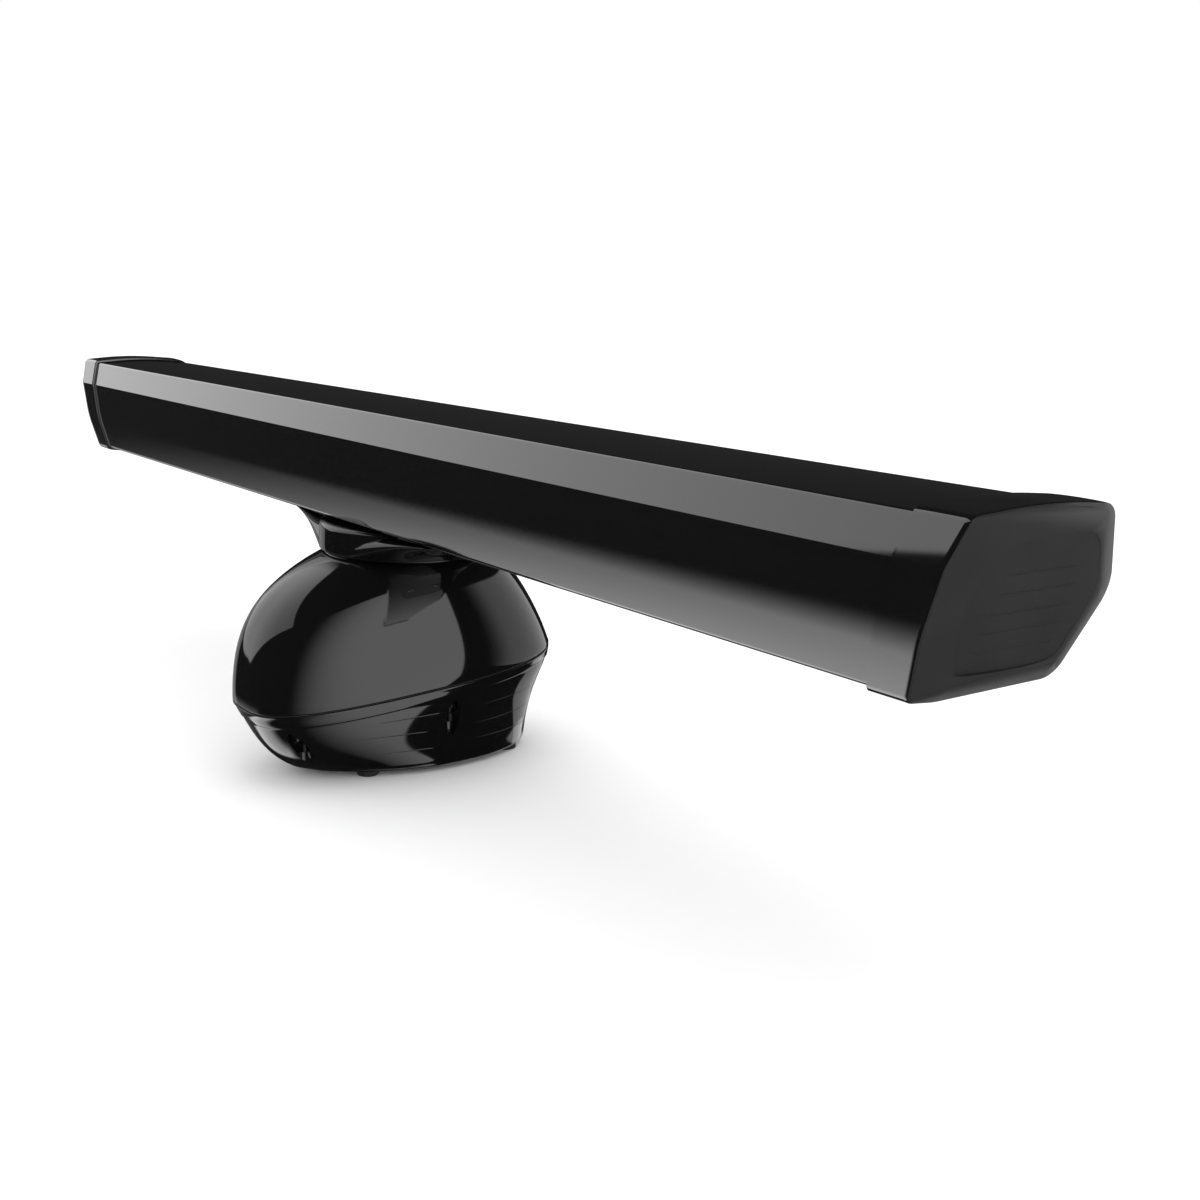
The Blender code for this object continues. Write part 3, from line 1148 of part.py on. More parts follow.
def make_safety_switch(switch_axis):
    """The rocker that stops the array while somebody works on the mast."""
    wide, tall = SWITCH_HALF_WIDTH + SWITCH_WALL, SWITCH_HALF_HEIGHT + SWITCH_WALL
    frame_top = PANEL_FACE + 0.0015
    block = box_mesh((-wide, PANEL_FACE - 0.012, SWITCH_Z - tall), (wide, frame_top, SWITCH_Z + tall))
    body = add("switch_body", block, DARK_PLASTIC)
    bezel = box_mesh((-wide - 0.0012, PANEL_FACE + GAP, SWITCH_Z - tall - 0.0012),
                     (wide + 0.0012, frame_top - 0.0002, SWITCH_Z + tall + 0.0012))
    boolean(body, as_cutter("switch_bezel", bezel), "UNION")
    cavity = box_mesh((-SWITCH_HALF_WIDTH, PANEL_FACE - 0.0065, SWITCH_Z - SWITCH_HALF_HEIGHT),
                      (SWITCH_HALF_WIDTH, frame_top + 0.01, SWITCH_Z + SWITCH_HALF_HEIGHT))
    boolean(body, as_cutter("switch_cavity", cavity))
    pin_radius, pin_reach = 0.001, SWITCH_HALF_WIDTH + SWITCH_WALL - 0.0004
    pin_hole = cross_pin(pin_radius + 0.0002, pin_reach + GAP, PIVOT_Y, SWITCH_Z)
    boolean(body, as_cutter("switch_pin_hole", pin_hole))

    half_tall = SWITCH_HALF_HEIGHT - 0.0008
    profile = [(-half_tall, -0.003), (half_tall, -0.003), (half_tall, 0.0028), (0.0, 0.0016)]
    profile.append((-half_tall, 0.0028))
    half_wide = SWITCH_HALF_WIDTH - 0.0004
    rings = []
    for x in (-half_wide, half_wide):
        c, s = math.cos(SWITCH_TILT), math.sin(SWITCH_TILT)
        rings.append([Vector((x, y * c - z * s, z * c + y * s)) for z, y in profile])
    rocker = add("switch_rocker", loft(rings), SIGNAL_RED, switch_axis)
    pin = cross_pin(pin_radius, pin_reach, PIVOT_Y, SWITCH_Z)
    boolean(rocker, as_cutter("rocker_pin", pin), "UNION")


def cross_pin(radius, reach, y, z):
    """A pin along X."""
    bm = bmesh.new()
    place = Matrix.Translation((0.0, y, z)) @ Matrix.Rotation(math.radians(90), 4, "Y")
    bmesh.ops.create_cone(bm, cap_ends=True, segments=10, radius1=radius, radius2=radius,
                          depth=2 * reach, matrix=place)
    return to_mesh(bm)


def centre_on_footprint():
    """Shifts everything aft, so that the origin is the middle of the footprint."""
    for obj in list(parts.objects) + list(cutters.objects):
        if obj.parent is None:
            obj.location.y += (SEAM_NOSE - SEAM_TAIL) / 2


def main():
    array_axis = axis_empty("array_axis", (0.0, 0.0, 0.0))
    motor_axis = axis_empty("motor_axis", (0.0, CENTRE_DISTANCE, GEAR_Z))
    switch_axis = axis_empty("switch_axis", (0.0, PIVOT_Y, SWITCH_Z))
    make_lower_housing()
    make_upper_housing()
    make_housing_gasket()
    make_housing_bolts()
    make_feet()
    make_chassis()
    make_bearing_tower()
    make_rotary_joint()
    make_electronics()
    make_drive(array_axis, motor_axis)
    make_shaft(array_axis)
    make_tube(array_axis)
    make_end_caps(array_axis)
    make_bracket(array_axis)
    make_array_core(array_axis)
    make_rear_panel()
    make_sockets()
    make_safety_switch(switch_axis)
    centre_on_footprint()


main()
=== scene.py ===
# %% [markdown]
# # An open-array marine radar scanner
# A long slotted aerial turns on a rounded pedestal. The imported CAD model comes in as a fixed
# frame: its positions are right, but its surfaces are coarse. This lesson rebuilds the surfaces
# that people see as smooth shells, gives every piece a finish, and lights the whole as a studio
# would. The turning axis and the levels are read from the frame, so that nothing is fitted by eye.

# %% Load the frame and read its main levels
import json
import math

import bmesh
import bpy
from mathutils import Matrix, Vector


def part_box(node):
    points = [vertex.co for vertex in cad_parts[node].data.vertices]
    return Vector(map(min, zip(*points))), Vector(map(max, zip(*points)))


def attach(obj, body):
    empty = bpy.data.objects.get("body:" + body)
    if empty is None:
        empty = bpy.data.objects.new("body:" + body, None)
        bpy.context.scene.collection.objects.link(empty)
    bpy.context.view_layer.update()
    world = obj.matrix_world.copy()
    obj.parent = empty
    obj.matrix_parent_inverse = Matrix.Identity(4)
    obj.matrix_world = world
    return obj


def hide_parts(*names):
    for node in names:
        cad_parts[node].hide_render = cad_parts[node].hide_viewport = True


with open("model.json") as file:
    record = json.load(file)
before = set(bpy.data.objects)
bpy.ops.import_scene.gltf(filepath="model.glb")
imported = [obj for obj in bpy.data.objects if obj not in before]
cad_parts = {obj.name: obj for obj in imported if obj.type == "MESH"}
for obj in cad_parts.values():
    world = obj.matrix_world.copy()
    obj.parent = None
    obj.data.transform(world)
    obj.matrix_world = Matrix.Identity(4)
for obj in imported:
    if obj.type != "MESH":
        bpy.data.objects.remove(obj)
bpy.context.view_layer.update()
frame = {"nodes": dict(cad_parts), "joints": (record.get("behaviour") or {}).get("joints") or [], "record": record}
joints = {joint["name"]: joint for joint in frame["joints"]}
AXIS = Vector(joints["array_spin"]["pos_m"])
NECK_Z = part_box("upper_housing")[1].z
BASE_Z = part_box("lower_housing")[0].z
CAP_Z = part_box("end_cap_port")[0].z
print("turning axis", tuple(AXIS), "neck at", round(NECK_Z, 4), "array from", round(CAP_Z, 4))

# %% [markdown]
# ## One way to build a shell
# Housings like these are drawn as sections, and the skin runs smoothly from each section to the
# next. In Blender a circle can be extruded edge by edge and each new loop moved onto its section.
# Every vertex carries its number round the loop, so that the helper knows where it belongs. A
# closed shell bridges its last loop to its first, and an open one gets a face at each end.

# %% Helper: loft
def settle(verts, ring, order):
    """Moves the vertices of one loop onto their section."""
    for vert in verts:
        vert.co = ring[vert[order]]


def loft(rings, closed=False):
    """A bmesh skinned over sections that have the same number of points."""
    bm = bmesh.new()
    order = bm.verts.layers.int.new("order")
    start = bmesh.ops.create_circle(bm, segments=len(rings[0]), radius=1.0)["verts"]
    for number, vert in enumerate(start):
        vert[order] = number
    settle(start, rings[0], order)
    first = edge = list(bm.edges)
    for ring in rings[1:]:
        grown = bmesh.ops.extrude_edge_only(bm, edges=edge)["geom"]
        settle([item for item in grown if isinstance(item, bmesh.types.BMVert)], ring, order)
        edge = [item for item in grown if isinstance(item, bmesh.types.BMEdge) and item.is_boundary]
    if closed:
        bmesh.ops.bridge_loops(bm, edges=first + edge)
    else:
        bmesh.ops.edgeloop_fill(bm, edges=first)
        bmesh.ops.edgeloop_fill(bm, edges=edge)
    bm.verts.layers.int.remove(order)
    bmesh.ops.recalc_face_normals(bm, faces=bm.faces)
    return bm


# %% [markdown]
# ## One way to finish a piece
# A finished piece has its place in its mesh, moves with one body of the frame, stands for one or
# more CAD nodes and names its material slot. Smooth shading with sharp edges where two faces
# meet at more than 35 degrees is how a moulded or cast part reads: soft surfaces, crisp rims.

# %% Helpers: make a piece, cut it
def as_object(name, bm):
    """Puts a bmesh in the scene."""
    mesh = bpy.data.meshes.new(name)
    bm.to_mesh(mesh)
    bm.free()
    obj = bpy.data.objects.new(name, mesh)
    bpy.context.scene.collection.objects.link(obj)
    return obj


def cut(obj, *tools, operation="DIFFERENCE"):
    """Cuts an object with closed bmeshes, which are used up."""
    for tool in tools:
        cutter = as_object("cutter", tool)
        modifier = obj.modifiers.new("cut", "BOOLEAN")
        modifier.operation = operation
        modifier.solver = "EXACT"
        modifier.object = cutter
        shaped = obj.evaluated_get(bpy.context.evaluated_depsgraph_get())
        mesh = bpy.data.meshes.new_from_object(shaped)
        obj.modifiers.remove(modifier)
        obj.data = mesh
        bpy.data.objects.remove(cutter, do_unlink=True)


def shade(mesh, angle=35.0):
    mesh.shade_smooth()
    mesh.set_sharp_from_angle(angle=math.radians(angle))


def piece(name, shape, body, nodes, finishes):
    """Turns a bmesh or an object into a finished piece, and says how large it came out."""
    obj = as_object(name, shape) if isinstance(shape, bmesh.types.BMesh) else shape
    obj.name = name
    obj.data.name = name
    shade(obj.data)
    while len(obj.data.materials) < len(finishes):
        obj.data.materials.append(None)
    for place, finish in enumerate(finishes):
        obj.data.materials[place] = finish
    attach(obj, body)
    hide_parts(*nodes)
    obj.data.calc_loop_triangles()
    sizes = " x ".join(str(round(side * 1000, 1)) for side in obj.dimensions)
    print(f"{name}: {sizes} mm, {len(obj.data.loop_triangles)} triangles")
    return obj


# %% [markdown]
# ## Shader maths in plain Python
# A finish is a formula: this much grain, that much gloss. Blender writes formulas as chains of
# nodes, which are hard to read in code. A small class holds one output socket and lets Python's
# own operators add the Math nodes, and one method makes every other node.

# %% Helper: a socket that can be used in sums
class Wire:
    """One output socket. Sums with it add Math nodes to its tree."""

    def __init__(self, tree, socket=None):
        self.tree = tree
        self.socket = socket

    def node(self, kind, settings=None, inputs=None, output=0):
        """Adds any node: its settings first, then the values or links of its sockets."""
        made = self.tree.nodes.new(kind)
        for name, value in (settings or {}).items():
            setattr(made, name, value)
        for key, value in (inputs or {}).items():
            if isinstance(value, Wire):
                self.tree.links.new(value.socket, made.inputs[key])
            else:
                made.inputs[key].default_value = value
        return Wire(self.tree, made.outputs[output]) if len(made.outputs) else None

    def maths(self, operation, *values):
        return self.node("ShaderNodeMath", {"operation": operation}, dict(enumerate(values)))

    def __add__(self, other):
        return self.maths("ADD", self, other)

    __radd__ = __add__

    def __mul__(self, other):
        return self.maths("MULTIPLY", self, other)

    __rmul__ = __mul__

    def __sub__(self, other):
        return self.maths("SUBTRACT", self, other)

    def __rsub__(self, other):
        return self.maths("SUBTRACT", other, self)

    def steps(self, low, high):
        """A soft step: 0 below low, 1 above high."""
        settings = {"interpolation_type": "SMOOTHSTEP"}
        return self.node("ShaderNodeMapRange", settings, {"Value": self, "From Min": low, "From Max": high})


def mix_colour(share, first, second):
    """Two colours or wires of colour, mixed by a share."""
    first, second = [c if isinstance(c, Wire) else (*c, 1.0) for c in (first, second)]
    colours = {0: share, 6: first, 7: second}
    return share.node("ShaderNodeMix", {"data_type": "RGBA"}, colours, output=2)


# %% [markdown]
# ## The studio's camera
# The scanner is looked at from ahead and to one side, a little above it, with a normal lens.
# The camera is built from the three directions of its own frame: right, up and back.

# %% The camera
CAMERA_PLACE = Vector((1.6717, -0.8287, 0.5873))
CAMERA_RIGHT = Vector((0.55743561, 0.83022017, 0.0))
CAMERA_UP = Vector((-0.17483208, 0.11738769, 0.97757551))
LENS = 48.05

lens = bpy.data.cameras.new("camera")
lens.lens = LENS
lens.sensor_width = 36.0
lens.clip_end = 200.0
camera = bpy.data.objects.new("camera", lens)
bpy.context.scene.collection.objects.link(camera)
turn = Matrix((CAMERA_RIGHT, CAMERA_UP, CAMERA_RIGHT.cross(CAMERA_UP))).transposed().to_4x4()
camera.matrix_world = Matrix.Translation(CAMERA_PLACE) @ turn
bpy.context.scene.camera = camera
print("camera", tuple(round(value, 3) for value in CAMERA_PLACE), "lens", LENS, "mm")

# %% [markdown]
# ## Soft boxes
# A black gloss object shows nothing but what it reflects, so its studio is made of large soft
# boxes in a dark room. They are painted into the world as flat panels very far away, which only
# glossy rays see: matt surfaces get an even white light, and the camera sees a white backdrop.
# A panel is given by its corners, each a compass direction and a height in degrees. Each edge is
# the plane through two corners and the viewer's eye, and it can be crisp or fade over a distance.

# %% Helper: a soft box in the world
world = bpy.data.worlds.new("studio")
world.use_nodes = True
world.node_tree.nodes.clear()
sky = Wire(world.node_tree)
gaze = sky.node("ShaderNodeTexCoord", output="Generated")
CRISP = 0.015


def heading(azimuth, height):
    """The unit vector of a compass direction and a height, both in degrees."""
    around, above = math.radians(azimuth), math.radians(height)
    level = math.cos(above)
    return Vector((level * math.cos(around), level * math.sin(around), math.sin(above)))


def soft_box(strength, corners, fades=()):
    """The light of one panel. A fade is how softly the edge after each corner comes in."""
    directions = [heading(*corner) for corner in corners]
    middle = sum(directions, Vector()).normalized()
    light = strength
    for number, corner in enumerate(directions):
        edge = corner.cross(directions[(number + 1) % len(directions)]).normalized()
        edge = edge if edge.dot(middle) > 0 else -edge
        fade = fades[number] if number < len(fades) else CRISP
        settings = {"operation": "DOT_PRODUCT"}
        inside = sky.node("ShaderNodeVectorMath", settings, {0: gaze, 1: edge}, output="Value")
        light = inside.steps(0.0, fade) * light
    return light


# %% The boxes, the room and the floor
BOXES = {
    "side": soft_box(2.2, ((24.5, 24.5), (24.5, -84), (-60, -70), (-60, 43)), (CRISP, 0.1, 0.85)),
    "stern": soft_box(1.0, ((122, 12.5), (36, 22.3), (36, -20), (122, -22)), (CRISP, 0.42)),
    "stern, low": soft_box(0.8, ((150, -16), (94, -20), (94, -46), (150, -42))),
    "nose": soft_box(1.2, ((-98, 38), (178, 41), (168, 6), (-151, -2.5)), (CRISP, 0.05)),
    "under the nose": soft_box(0.4, ((-168, 0), (168, 6), (168, -30), (-168, -30)), (0.02, 0.05, 0.3)),
    "sweep": soft_box(2.1, ((-178, -10), (-120, -12), (-120, -66), (-178, -60)), (0.42, 0.3, 0.1, 0.1)),
}
room = 0.02 + sum(BOXES.values())
path = sky.node("ShaderNodeLightPath", output="Is Glossy Ray")
seen = sky.node("ShaderNodeLightPath", output="Is Camera Ray")
MATT_LIGHT = 1.25
strength = room * path + (1.0 - path) * (seen * (1.0 - MATT_LIGHT) + MATT_LIGHT)
backdrop = sky.node("ShaderNodeBackground", inputs={"Color": (1.0, 1.0, 1.0, 1.0), "Strength": strength})
sky.node("ShaderNodeOutputWorld", inputs={"Surface": backdrop})
bpy.context.scene.world = world
bpy.context.scene.view_settings.view_transform = "Standard"
print(len(BOXES), "soft boxes")

FLOOR_REACH = 60.0
bm = bmesh.new()
bmesh.ops.create_circle(bm, cap_ends=True, segments=96, radius=FLOOR_REACH)
floor = as_object("floor", bm)
floor.visible_glossy = False
pale = bpy.data.materials.new("floor_paper")
pale.use_nodes = True
paper = Wire(pale.node_tree)
paper_shader = pale.node_tree.nodes["Principled BSDF"]
paper_shader.inputs["Roughness"].default_value = 0.9
paper_shader.inputs["Specular IOR Level"].default_value = 0.0
spot = paper.node("ShaderNodeTexCoord", output="Object")
fleck = paper.node("ShaderNodeTexNoise", inputs={"Vector": spot, "Scale": 40.0, "Detail": 3.0})
shade_of_paper = mix_colour(fleck, (0.97, 0.97, 0.97), (0.99, 0.99, 0.99))
pale.node_tree.links.new(shade_of_paper.socket, paper_shader.inputs["Base Color"])
floor.data.materials.append(pale)

lamp_data = bpy.data.lights.new("overhead", "AREA")
lamp_data.shape = "DISK"
lamp_data.size = 3.0
lamp_data.energy = 12.0
lamp = bpy.data.objects.new("overhead", lamp_data)
lamp.location = AXIS + Vector((0.0, 0.0, 3.0))
lamp.visible_glossy = False
bpy.context.scene.collection.objects.link(lamp)
print("floor and overhead light in place")

# %% [markdown]
# ## The paints
# The pedestal and the aerial's tube are sprayed in black gloss. Real gloss isn't a mirror: the
# sprayed coat has a fine orange-peel wave, the black is a hair uneven, and dust dulls it in
# patches. All three come from noise on Object coordinates, in metres, so they sit on the piece.
# The colour and the gloss vary a little; the wave goes to Normal through a Bump node.

# %% Helper: start a finish
def new_finish(name, metallic=0.0, coat=0.0, coat_roughness=0.03, specular=0.5):
    """A Principled material, with its constants on the shader's own sockets."""
    made = bpy.data.materials.new(name)
    made.use_nodes = True
    shader = made.node_tree.nodes["Principled BSDF"]
    shader.inputs["Metallic"].default_value = metallic
    shader.inputs["Coat Weight"].default_value = coat
    shader.inputs["Coat Roughness"].default_value = coat_roughness
    shader.inputs["Specular IOR Level"].default_value = specular
    place = Wire(made.node_tree).node("ShaderNodeTexCoord", output="Object")
    return made, place


def finish_with(made, colour, roughness, wave, depth):
    """Links what varies over the surface: colour, roughness and the height of the relief."""
    shader = made.node_tree.nodes["Principled BSDF"]
    links = made.node_tree.links
    links.new(colour.socket, shader.inputs["Base Color"])
    links.new(roughness.socket, shader.inputs["Roughness"])
    bump = wave.node("ShaderNodeBump", inputs={"Strength": 1.0, "Distance": depth, "Height": wave})
    links.new(bump.socket, shader.inputs["Normal"])
    return made


def noise(place, scale, detail=2.0, stretch=None):
    """Noise by the metre: scale is how many grains fit in a metre. It may be stretched."""
    if stretch:
        place = place.node("ShaderNodeMapping", inputs={"Vector": place, "Scale": stretch})
    return place.node("ShaderNodeTexNoise", inputs={"Vector": place, "Scale": scale, "Detail": detail})


def cells(place, scale):
    """The distance to scattered points: scale is how many of them fit in a metre."""
    inputs = {"Vector": place, "Scale": scale}
    return place.node("ShaderNodeTexVoronoi", inputs=inputs, output="Distance")


# %% Gloss black paint and gloss black gelcoat
def gloss_black(name, dark, light, gloss, peel, coat):
    made, place = new_finish(name, coat=coat)
    cloud = noise(place, 6.0, 3.0)
    dust = noise(place, 900.0, 2.0).steps(0.52, 0.75)
    colour = mix_colour(cloud, dark, light)
    roughness = gloss + 0.02 * cloud + 0.02 * dust
    return finish_with(made, colour, roughness, noise(place, 420.0, 1.0), peel)


housing_paint = gloss_black("housing_paint", (0.0030, 0.0030, 0.0032), (0.0042, 0.0042, 0.0045),
                            0.040, 0.0000006, 0.0)
array_gelcoat = gloss_black("array_gelcoat", (0.0032, 0.0032, 0.0034), (0.0046, 0.0046, 0.0049),
                            0.045, 0.0000006, 1.0)
print("paints:", housing_paint.name, array_gelcoat.name)

# %% [markdown]
# ## The end caps' plastic
# The caps are moulded in black plastic. The sleeve is polished like the tube, while the slanted
# face has the fine satin grain of an etched mould, which scatters the light and reads as dark
# grey. Two scales of grain make it: cells for the etching and noise for its unevenness.

# %% Satin plastic, and the plainer black ones
def grained_plastic(name, dark, light, rough, grain, depth):
    made, place = new_finish(name)
    etched = cells(place, grain)
    drift = noise(place, 25.0, 3.0)
    colour = mix_colour(drift, dark, light)
    roughness = rough + 0.08 * drift - 0.05 * etched
    return finish_with(made, colour, roughness, etched * 0.7 + drift * 0.3, depth)


cap_satin = grained_plastic("cap_satin", (0.0150, 0.0150, 0.0155), (0.0190, 0.0190, 0.0195),
                            0.40, 1500.0, 0.00003)
dark_plastic = grained_plastic("dark_plastic", (0.012, 0.012, 0.0125), (0.018, 0.018, 0.0185),
                               0.48, 1200.0, 0.00005)
gear_nylon = grained_plastic("gear_nylon", (0.66, 0.63, 0.54), (0.72, 0.70, 0.62),
                             0.42, 700.0, 0.00002)
switch_red = grained_plastic("switch_red", (0.40, 0.018, 0.012), (0.47, 0.030, 0.020),
                             0.32, 1300.0, 0.00002)
print("plastics:", cap_satin.name, dark_plastic.name, gear_nylon.name, switch_red.name)

# %% [markdown]
# ## Rubber, foam and circuit board
# Rubber is matt and a little grey where it has bloomed. The foam that steadies the horn is a
# white foam of closed cells, and each cell is painted darker towards its edge, where the bump
# sinks: painted shade in the grooves between the beads. The control board is green lacquer
# over copper tracks, which a brick pattern turned on its side suggests well enough at this size.

# %% Rubber, foam, circuit board
def make_rubber():
    made, place = new_finish("rubber", specular=0.3)
    bloom = noise(place, 60.0, 4.0)
    colour = mix_colour(bloom, (0.010, 0.010, 0.010), (0.022, 0.022, 0.021))
    return finish_with(made, colour, 0.62 + 0.2 * bloom, noise(place, 1800.0, 2.0), 0.00004)


def make_foam():
    made, place = new_finish("foam", specular=0.2)
    bead_edge_and_shade = cells(place, 320.0)
    # Darker towards each cell's edge, where the bump sinks: painted shade in the grooves between the beads.
    colour = mix_colour(bead_edge_and_shade, (0.84, 0.84, 0.82), (0.66, 0.66, 0.64))
    return finish_with(made, colour, 0.85 + 0.1 * bead_edge_and_shade, 1.0 - bead_edge_and_shade, 0.0006)


def make_circuit_board():
    made, place = new_finish("circuit_board", specular=0.5)
    on_edge = (0.0, 1.5708, 0.0)
    tracks = place.node("ShaderNodeTexBrick", inputs={
        "Vector": place.node("ShaderNodeMapping", inputs={"Vector": place, "Rotation": on_edge}),
        "Color1": (0.010, 0.090, 0.035, 1.0), "Color2": (0.014, 0.120, 0.045, 1.0),
        "Mortar": (0.030, 0.200, 0.075, 1.0), "Scale": 160.0, "Mortar Size": 0.06})
    grain = noise(place, 500.0)
    colour = mix_colour(grain * 0.3, tracks, (0.008, 0.060, 0.025))
    return finish_with(made, colour, 0.32 + 0.15 * grain, grain, 0.00003)


rubber = make_rubber()
foam = make_foam()
circuit_board = make_circuit_board()
print("soft and board finishes:", rubber.name, foam.name, circuit_board.name)

# %% [markdown]
# ## The metals
# Machined stainless steel has fine turning lines, cast aluminium a sandy skin, extruded or sawn
# aluminium long streaks, and brass a warm colour that tarnishes in patches. A metal's colour
# tints its reflections, so Metallic is 1, and the lines and the skin go into the bump and the
# gloss.

# %% Steel, aluminium, brass
def metal(name, dull, bright, rough, scale, stretch, depth):
    made, place = new_finish(name, metallic=1.0)
    lines = noise(place, scale, 3.0, stretch)
    stain = noise(place, 45.0, 4.0)
    colour = mix_colour(stain, dull, bright)
    return finish_with(made, colour, rough + 0.12 * lines + 0.08 * stain, lines, depth)


stainless = metal("stainless", (0.46, 0.46, 0.47), (0.62, 0.62, 0.63),
                  0.16, 900.0, (1.0, 1.0, 6.0), 0.00001)
aluminium = metal("aluminium", (0.50, 0.51, 0.52), (0.68, 0.69, 0.70),
                  0.30, 600.0, (0.15, 1.0, 1.0), 0.00002)
brass = metal("brass", (0.42, 0.26, 0.09), (0.62, 0.43, 0.17),
              0.22, 800.0, (1.0, 1.0, 5.0), 0.00001)
black_steel = metal("black_steel", (0.010, 0.010, 0.010), (0.020, 0.020, 0.021),
                    0.30, 900.0, (1.0, 1.0, 6.0), 0.00001)
print("metals:", stainless.name, aluminium.name, brass.name, black_steel.name)

# %% [markdown]
# ## The pedestal's outline
# Seen from above, both housings are egg-shaped: a superellipse whose power differs fore and aft
# and which narrows towards the stern. The same formula, with the CAD's dimensions, gives any
# number of points. The flank follows three curves, at the nose, the tail and the side.

# %% The pedestal's formulas
WALL = 0.005
SEAM_HEIGHT, SEAM_SLOPE, SEAM_TAPER = 0.1087, 0.107, -0.196
SEAM_SIDE, SEAM_NOSE, SEAM_TAIL = 0.118, 0.206, 0.180
BASE_SIDE, BASE_NOSE, BASE_TAIL = 0.093, 0.146, 0.150
SEAM_POWERS, BASE_POWERS = (3.09, 2.16), (1.6, 2.3)
NECK_RADIUS, SEAL_RADIUS = 0.090, 0.026
BAND_STEP, GASKET_THICKNESS, GAP = 0.0012, 0.0012, 0.0003
SEAM_OFFSET = GASKET_THICKNESS / 2 + GAP
NOSE_CURVE = ((0.29, 0.48), (0.62, 0.26))
TAIL_CURVE = ((-0.02, 0.24), (0.26, 0.65))
SIDE_CURVE = ((0.13, 0.29), (0.28, 0.42))
NOSE_DOME = ((-0.003, 0.105), (0.068, -0.033))
TAIL_DOME = ((-0.011, 0.030), (0.040, -0.006))
SIDE_DOME = ((0.010, 0.064), (0.018, -0.009))
AFT = Vector((0.0, AXIS.y, 0.0))


def mix(a, b, t):
    return a + (b - a) * t


def bezier(start, handle_a, handle_b, end, t):
    s = 1 - t
    weights = (s ** 3, 3 * s * s * t, 3 * s * t * t, t ** 3)
    points = (start, handle_a, handle_b, end)
    return tuple(sum(w * p[k] for w, p in zip(weights, points)) for k in range(2))


def seam_z(y):
    return SEAM_HEIGHT + SEAM_SLOPE * y


def egg_point(angle, side, nose, tail, powers, taper, heights, inset=0.0):
    """A point of an egg-shaped outline round the turning axis, set in by a little."""
    side, nose, tail = side - inset, nose - inset, tail - inset
    middle, half = (tail - nose) / 2, (tail + nose) / 2
    c, s = math.cos(angle), math.sin(angle)
    power = powers[0] if s < 0 else powers[1]
    reach = (abs(c / side) ** power + abs(s / half) ** power) ** (-1 / power)
    along = reach * s / half
    front, flank, back = heights
    z = flank + (back - front) / 2 * along + ((back + front) / 2 - flank) * along * along
    return Vector((reach * c * (1 - taper * along), middle + reach * s, z)) + AFT


def lower_point(angle, t, inset=0.0):
    """The lower housing's flank, from the seam (t = 0) to the base (t = 1)."""
    def run(reach_top, y_top, reach_base, curve):
        start, end = (reach_top, seam_z(y_top)), (reach_base, BASE_Z)
        (ax, az), (bx, bz) = curve
        first = (mix(start[0], end[0], ax), mix(start[1], end[1], az))
        second = (mix(end[0], start[0], bx), mix(end[1], start[1], bz))
        return bezier(start, first, second, end, t)

    middle = (SEAM_TAIL - SEAM_NOSE) / 2
    nose = run(SEAM_NOSE, -SEAM_NOSE, BASE_NOSE, NOSE_CURVE)
    tail = run(SEAM_TAIL, SEAM_TAIL, BASE_TAIL, TAIL_CURVE)
    side = run(SEAM_SIDE, middle, BASE_SIDE, SIDE_CURVE)
    powers = [mix(a, b, t) for a, b in zip(SEAM_POWERS, BASE_POWERS)]
    heights = (nose[1], side[1], tail[1])
    return egg_point(angle, side[0], nose[0], tail[0], powers, mix(SEAM_TAPER, 0.0, t), heights, inset)


def upper_point(angle, t, inset=0.0, drop=0.0):
    """The upper housing's dome, from the seam (t = 0) to the neck (t = 1)."""
    def run(reach, y, handles):
        start, end = (reach, seam_z(y)), (NECK_RADIUS, NECK_Z)
        first = (start[0] + handles[0][0], start[1] + handles[0][1])
        second = (end[0] + handles[1][0], end[1] + handles[1][1])
        return bezier(start, first, second, end, t)

    nose = run(SEAM_NOSE, -SEAM_NOSE, NOSE_DOME)
    tail = run(SEAM_TAIL, SEAM_TAIL, TAIL_DOME)
    side = run(SEAM_SIDE, (SEAM_TAIL - SEAM_NOSE) / 2, SIDE_DOME)
    k = t ** 1.5
    powers = [mix(power, 2.0, k) for power in SEAM_POWERS]
    heights = (nose[1] - drop, side[1] - drop, tail[1] - drop)
    return egg_point(angle, side[0], nose[0], tail[0], powers, mix(SEAM_TAPER, 0.0, k), heights, inset)


# %% Rings round the pedestal
RING_POINTS = 180
ANGLES = [math.tau * i / RING_POINTS for i in range(RING_POINTS)]


def lower_ring(t, inset=0.0, lift=0.0):
    return [lower_point(a, t, inset) + Vector((0, 0, lift)) for a in ANGLES]


def upper_ring(t, inset=0.0, drop=0.0, lift=0.0):
    return [upper_point(a, t, inset, drop) + Vector((0, 0, lift)) for a in ANGLES]


def at_level(ring, z):
    return [Vector((p.x, p.y, z)) for p in ring]


def circle_at(radius, z):
    return [Vector((AXIS.x + radius * math.cos(a), AXIS.y + radius * math.sin(a), z)) for a in ANGLES]


def round_edge(radius, steps=4):
    """Inset and drop of each ring of a rounded edge, from its side to its top."""
    turns = [math.pi / 2 * i / (steps - 1) for i in range(steps)]
    return [(radius * (1 - math.cos(a)), radius * (1 - math.sin(a))) for a in turns]


wide = max(p.x for p in lower_ring(0.0))
print("seam outline", round(2 * wide * 1000, 1), "mm wide with", RING_POINTS, "points")

# %% [markdown]
# ## The lower housing
# It is a cast tub. Its rim carries a plain band, below which the wall steps in by about a
# millimetre. Six lens-shaped pockets give the bolts' heads room, and fine tapering grooves run
# from each side pocket towards the nose. The shell is lofted in many levels. A boss inside takes
# each bolt: an upright cylinder, kept inside the wall by an intersection with a smaller loft. The
# pockets and grooves are cut last, so that their rims stay crisp on the smooth flank.

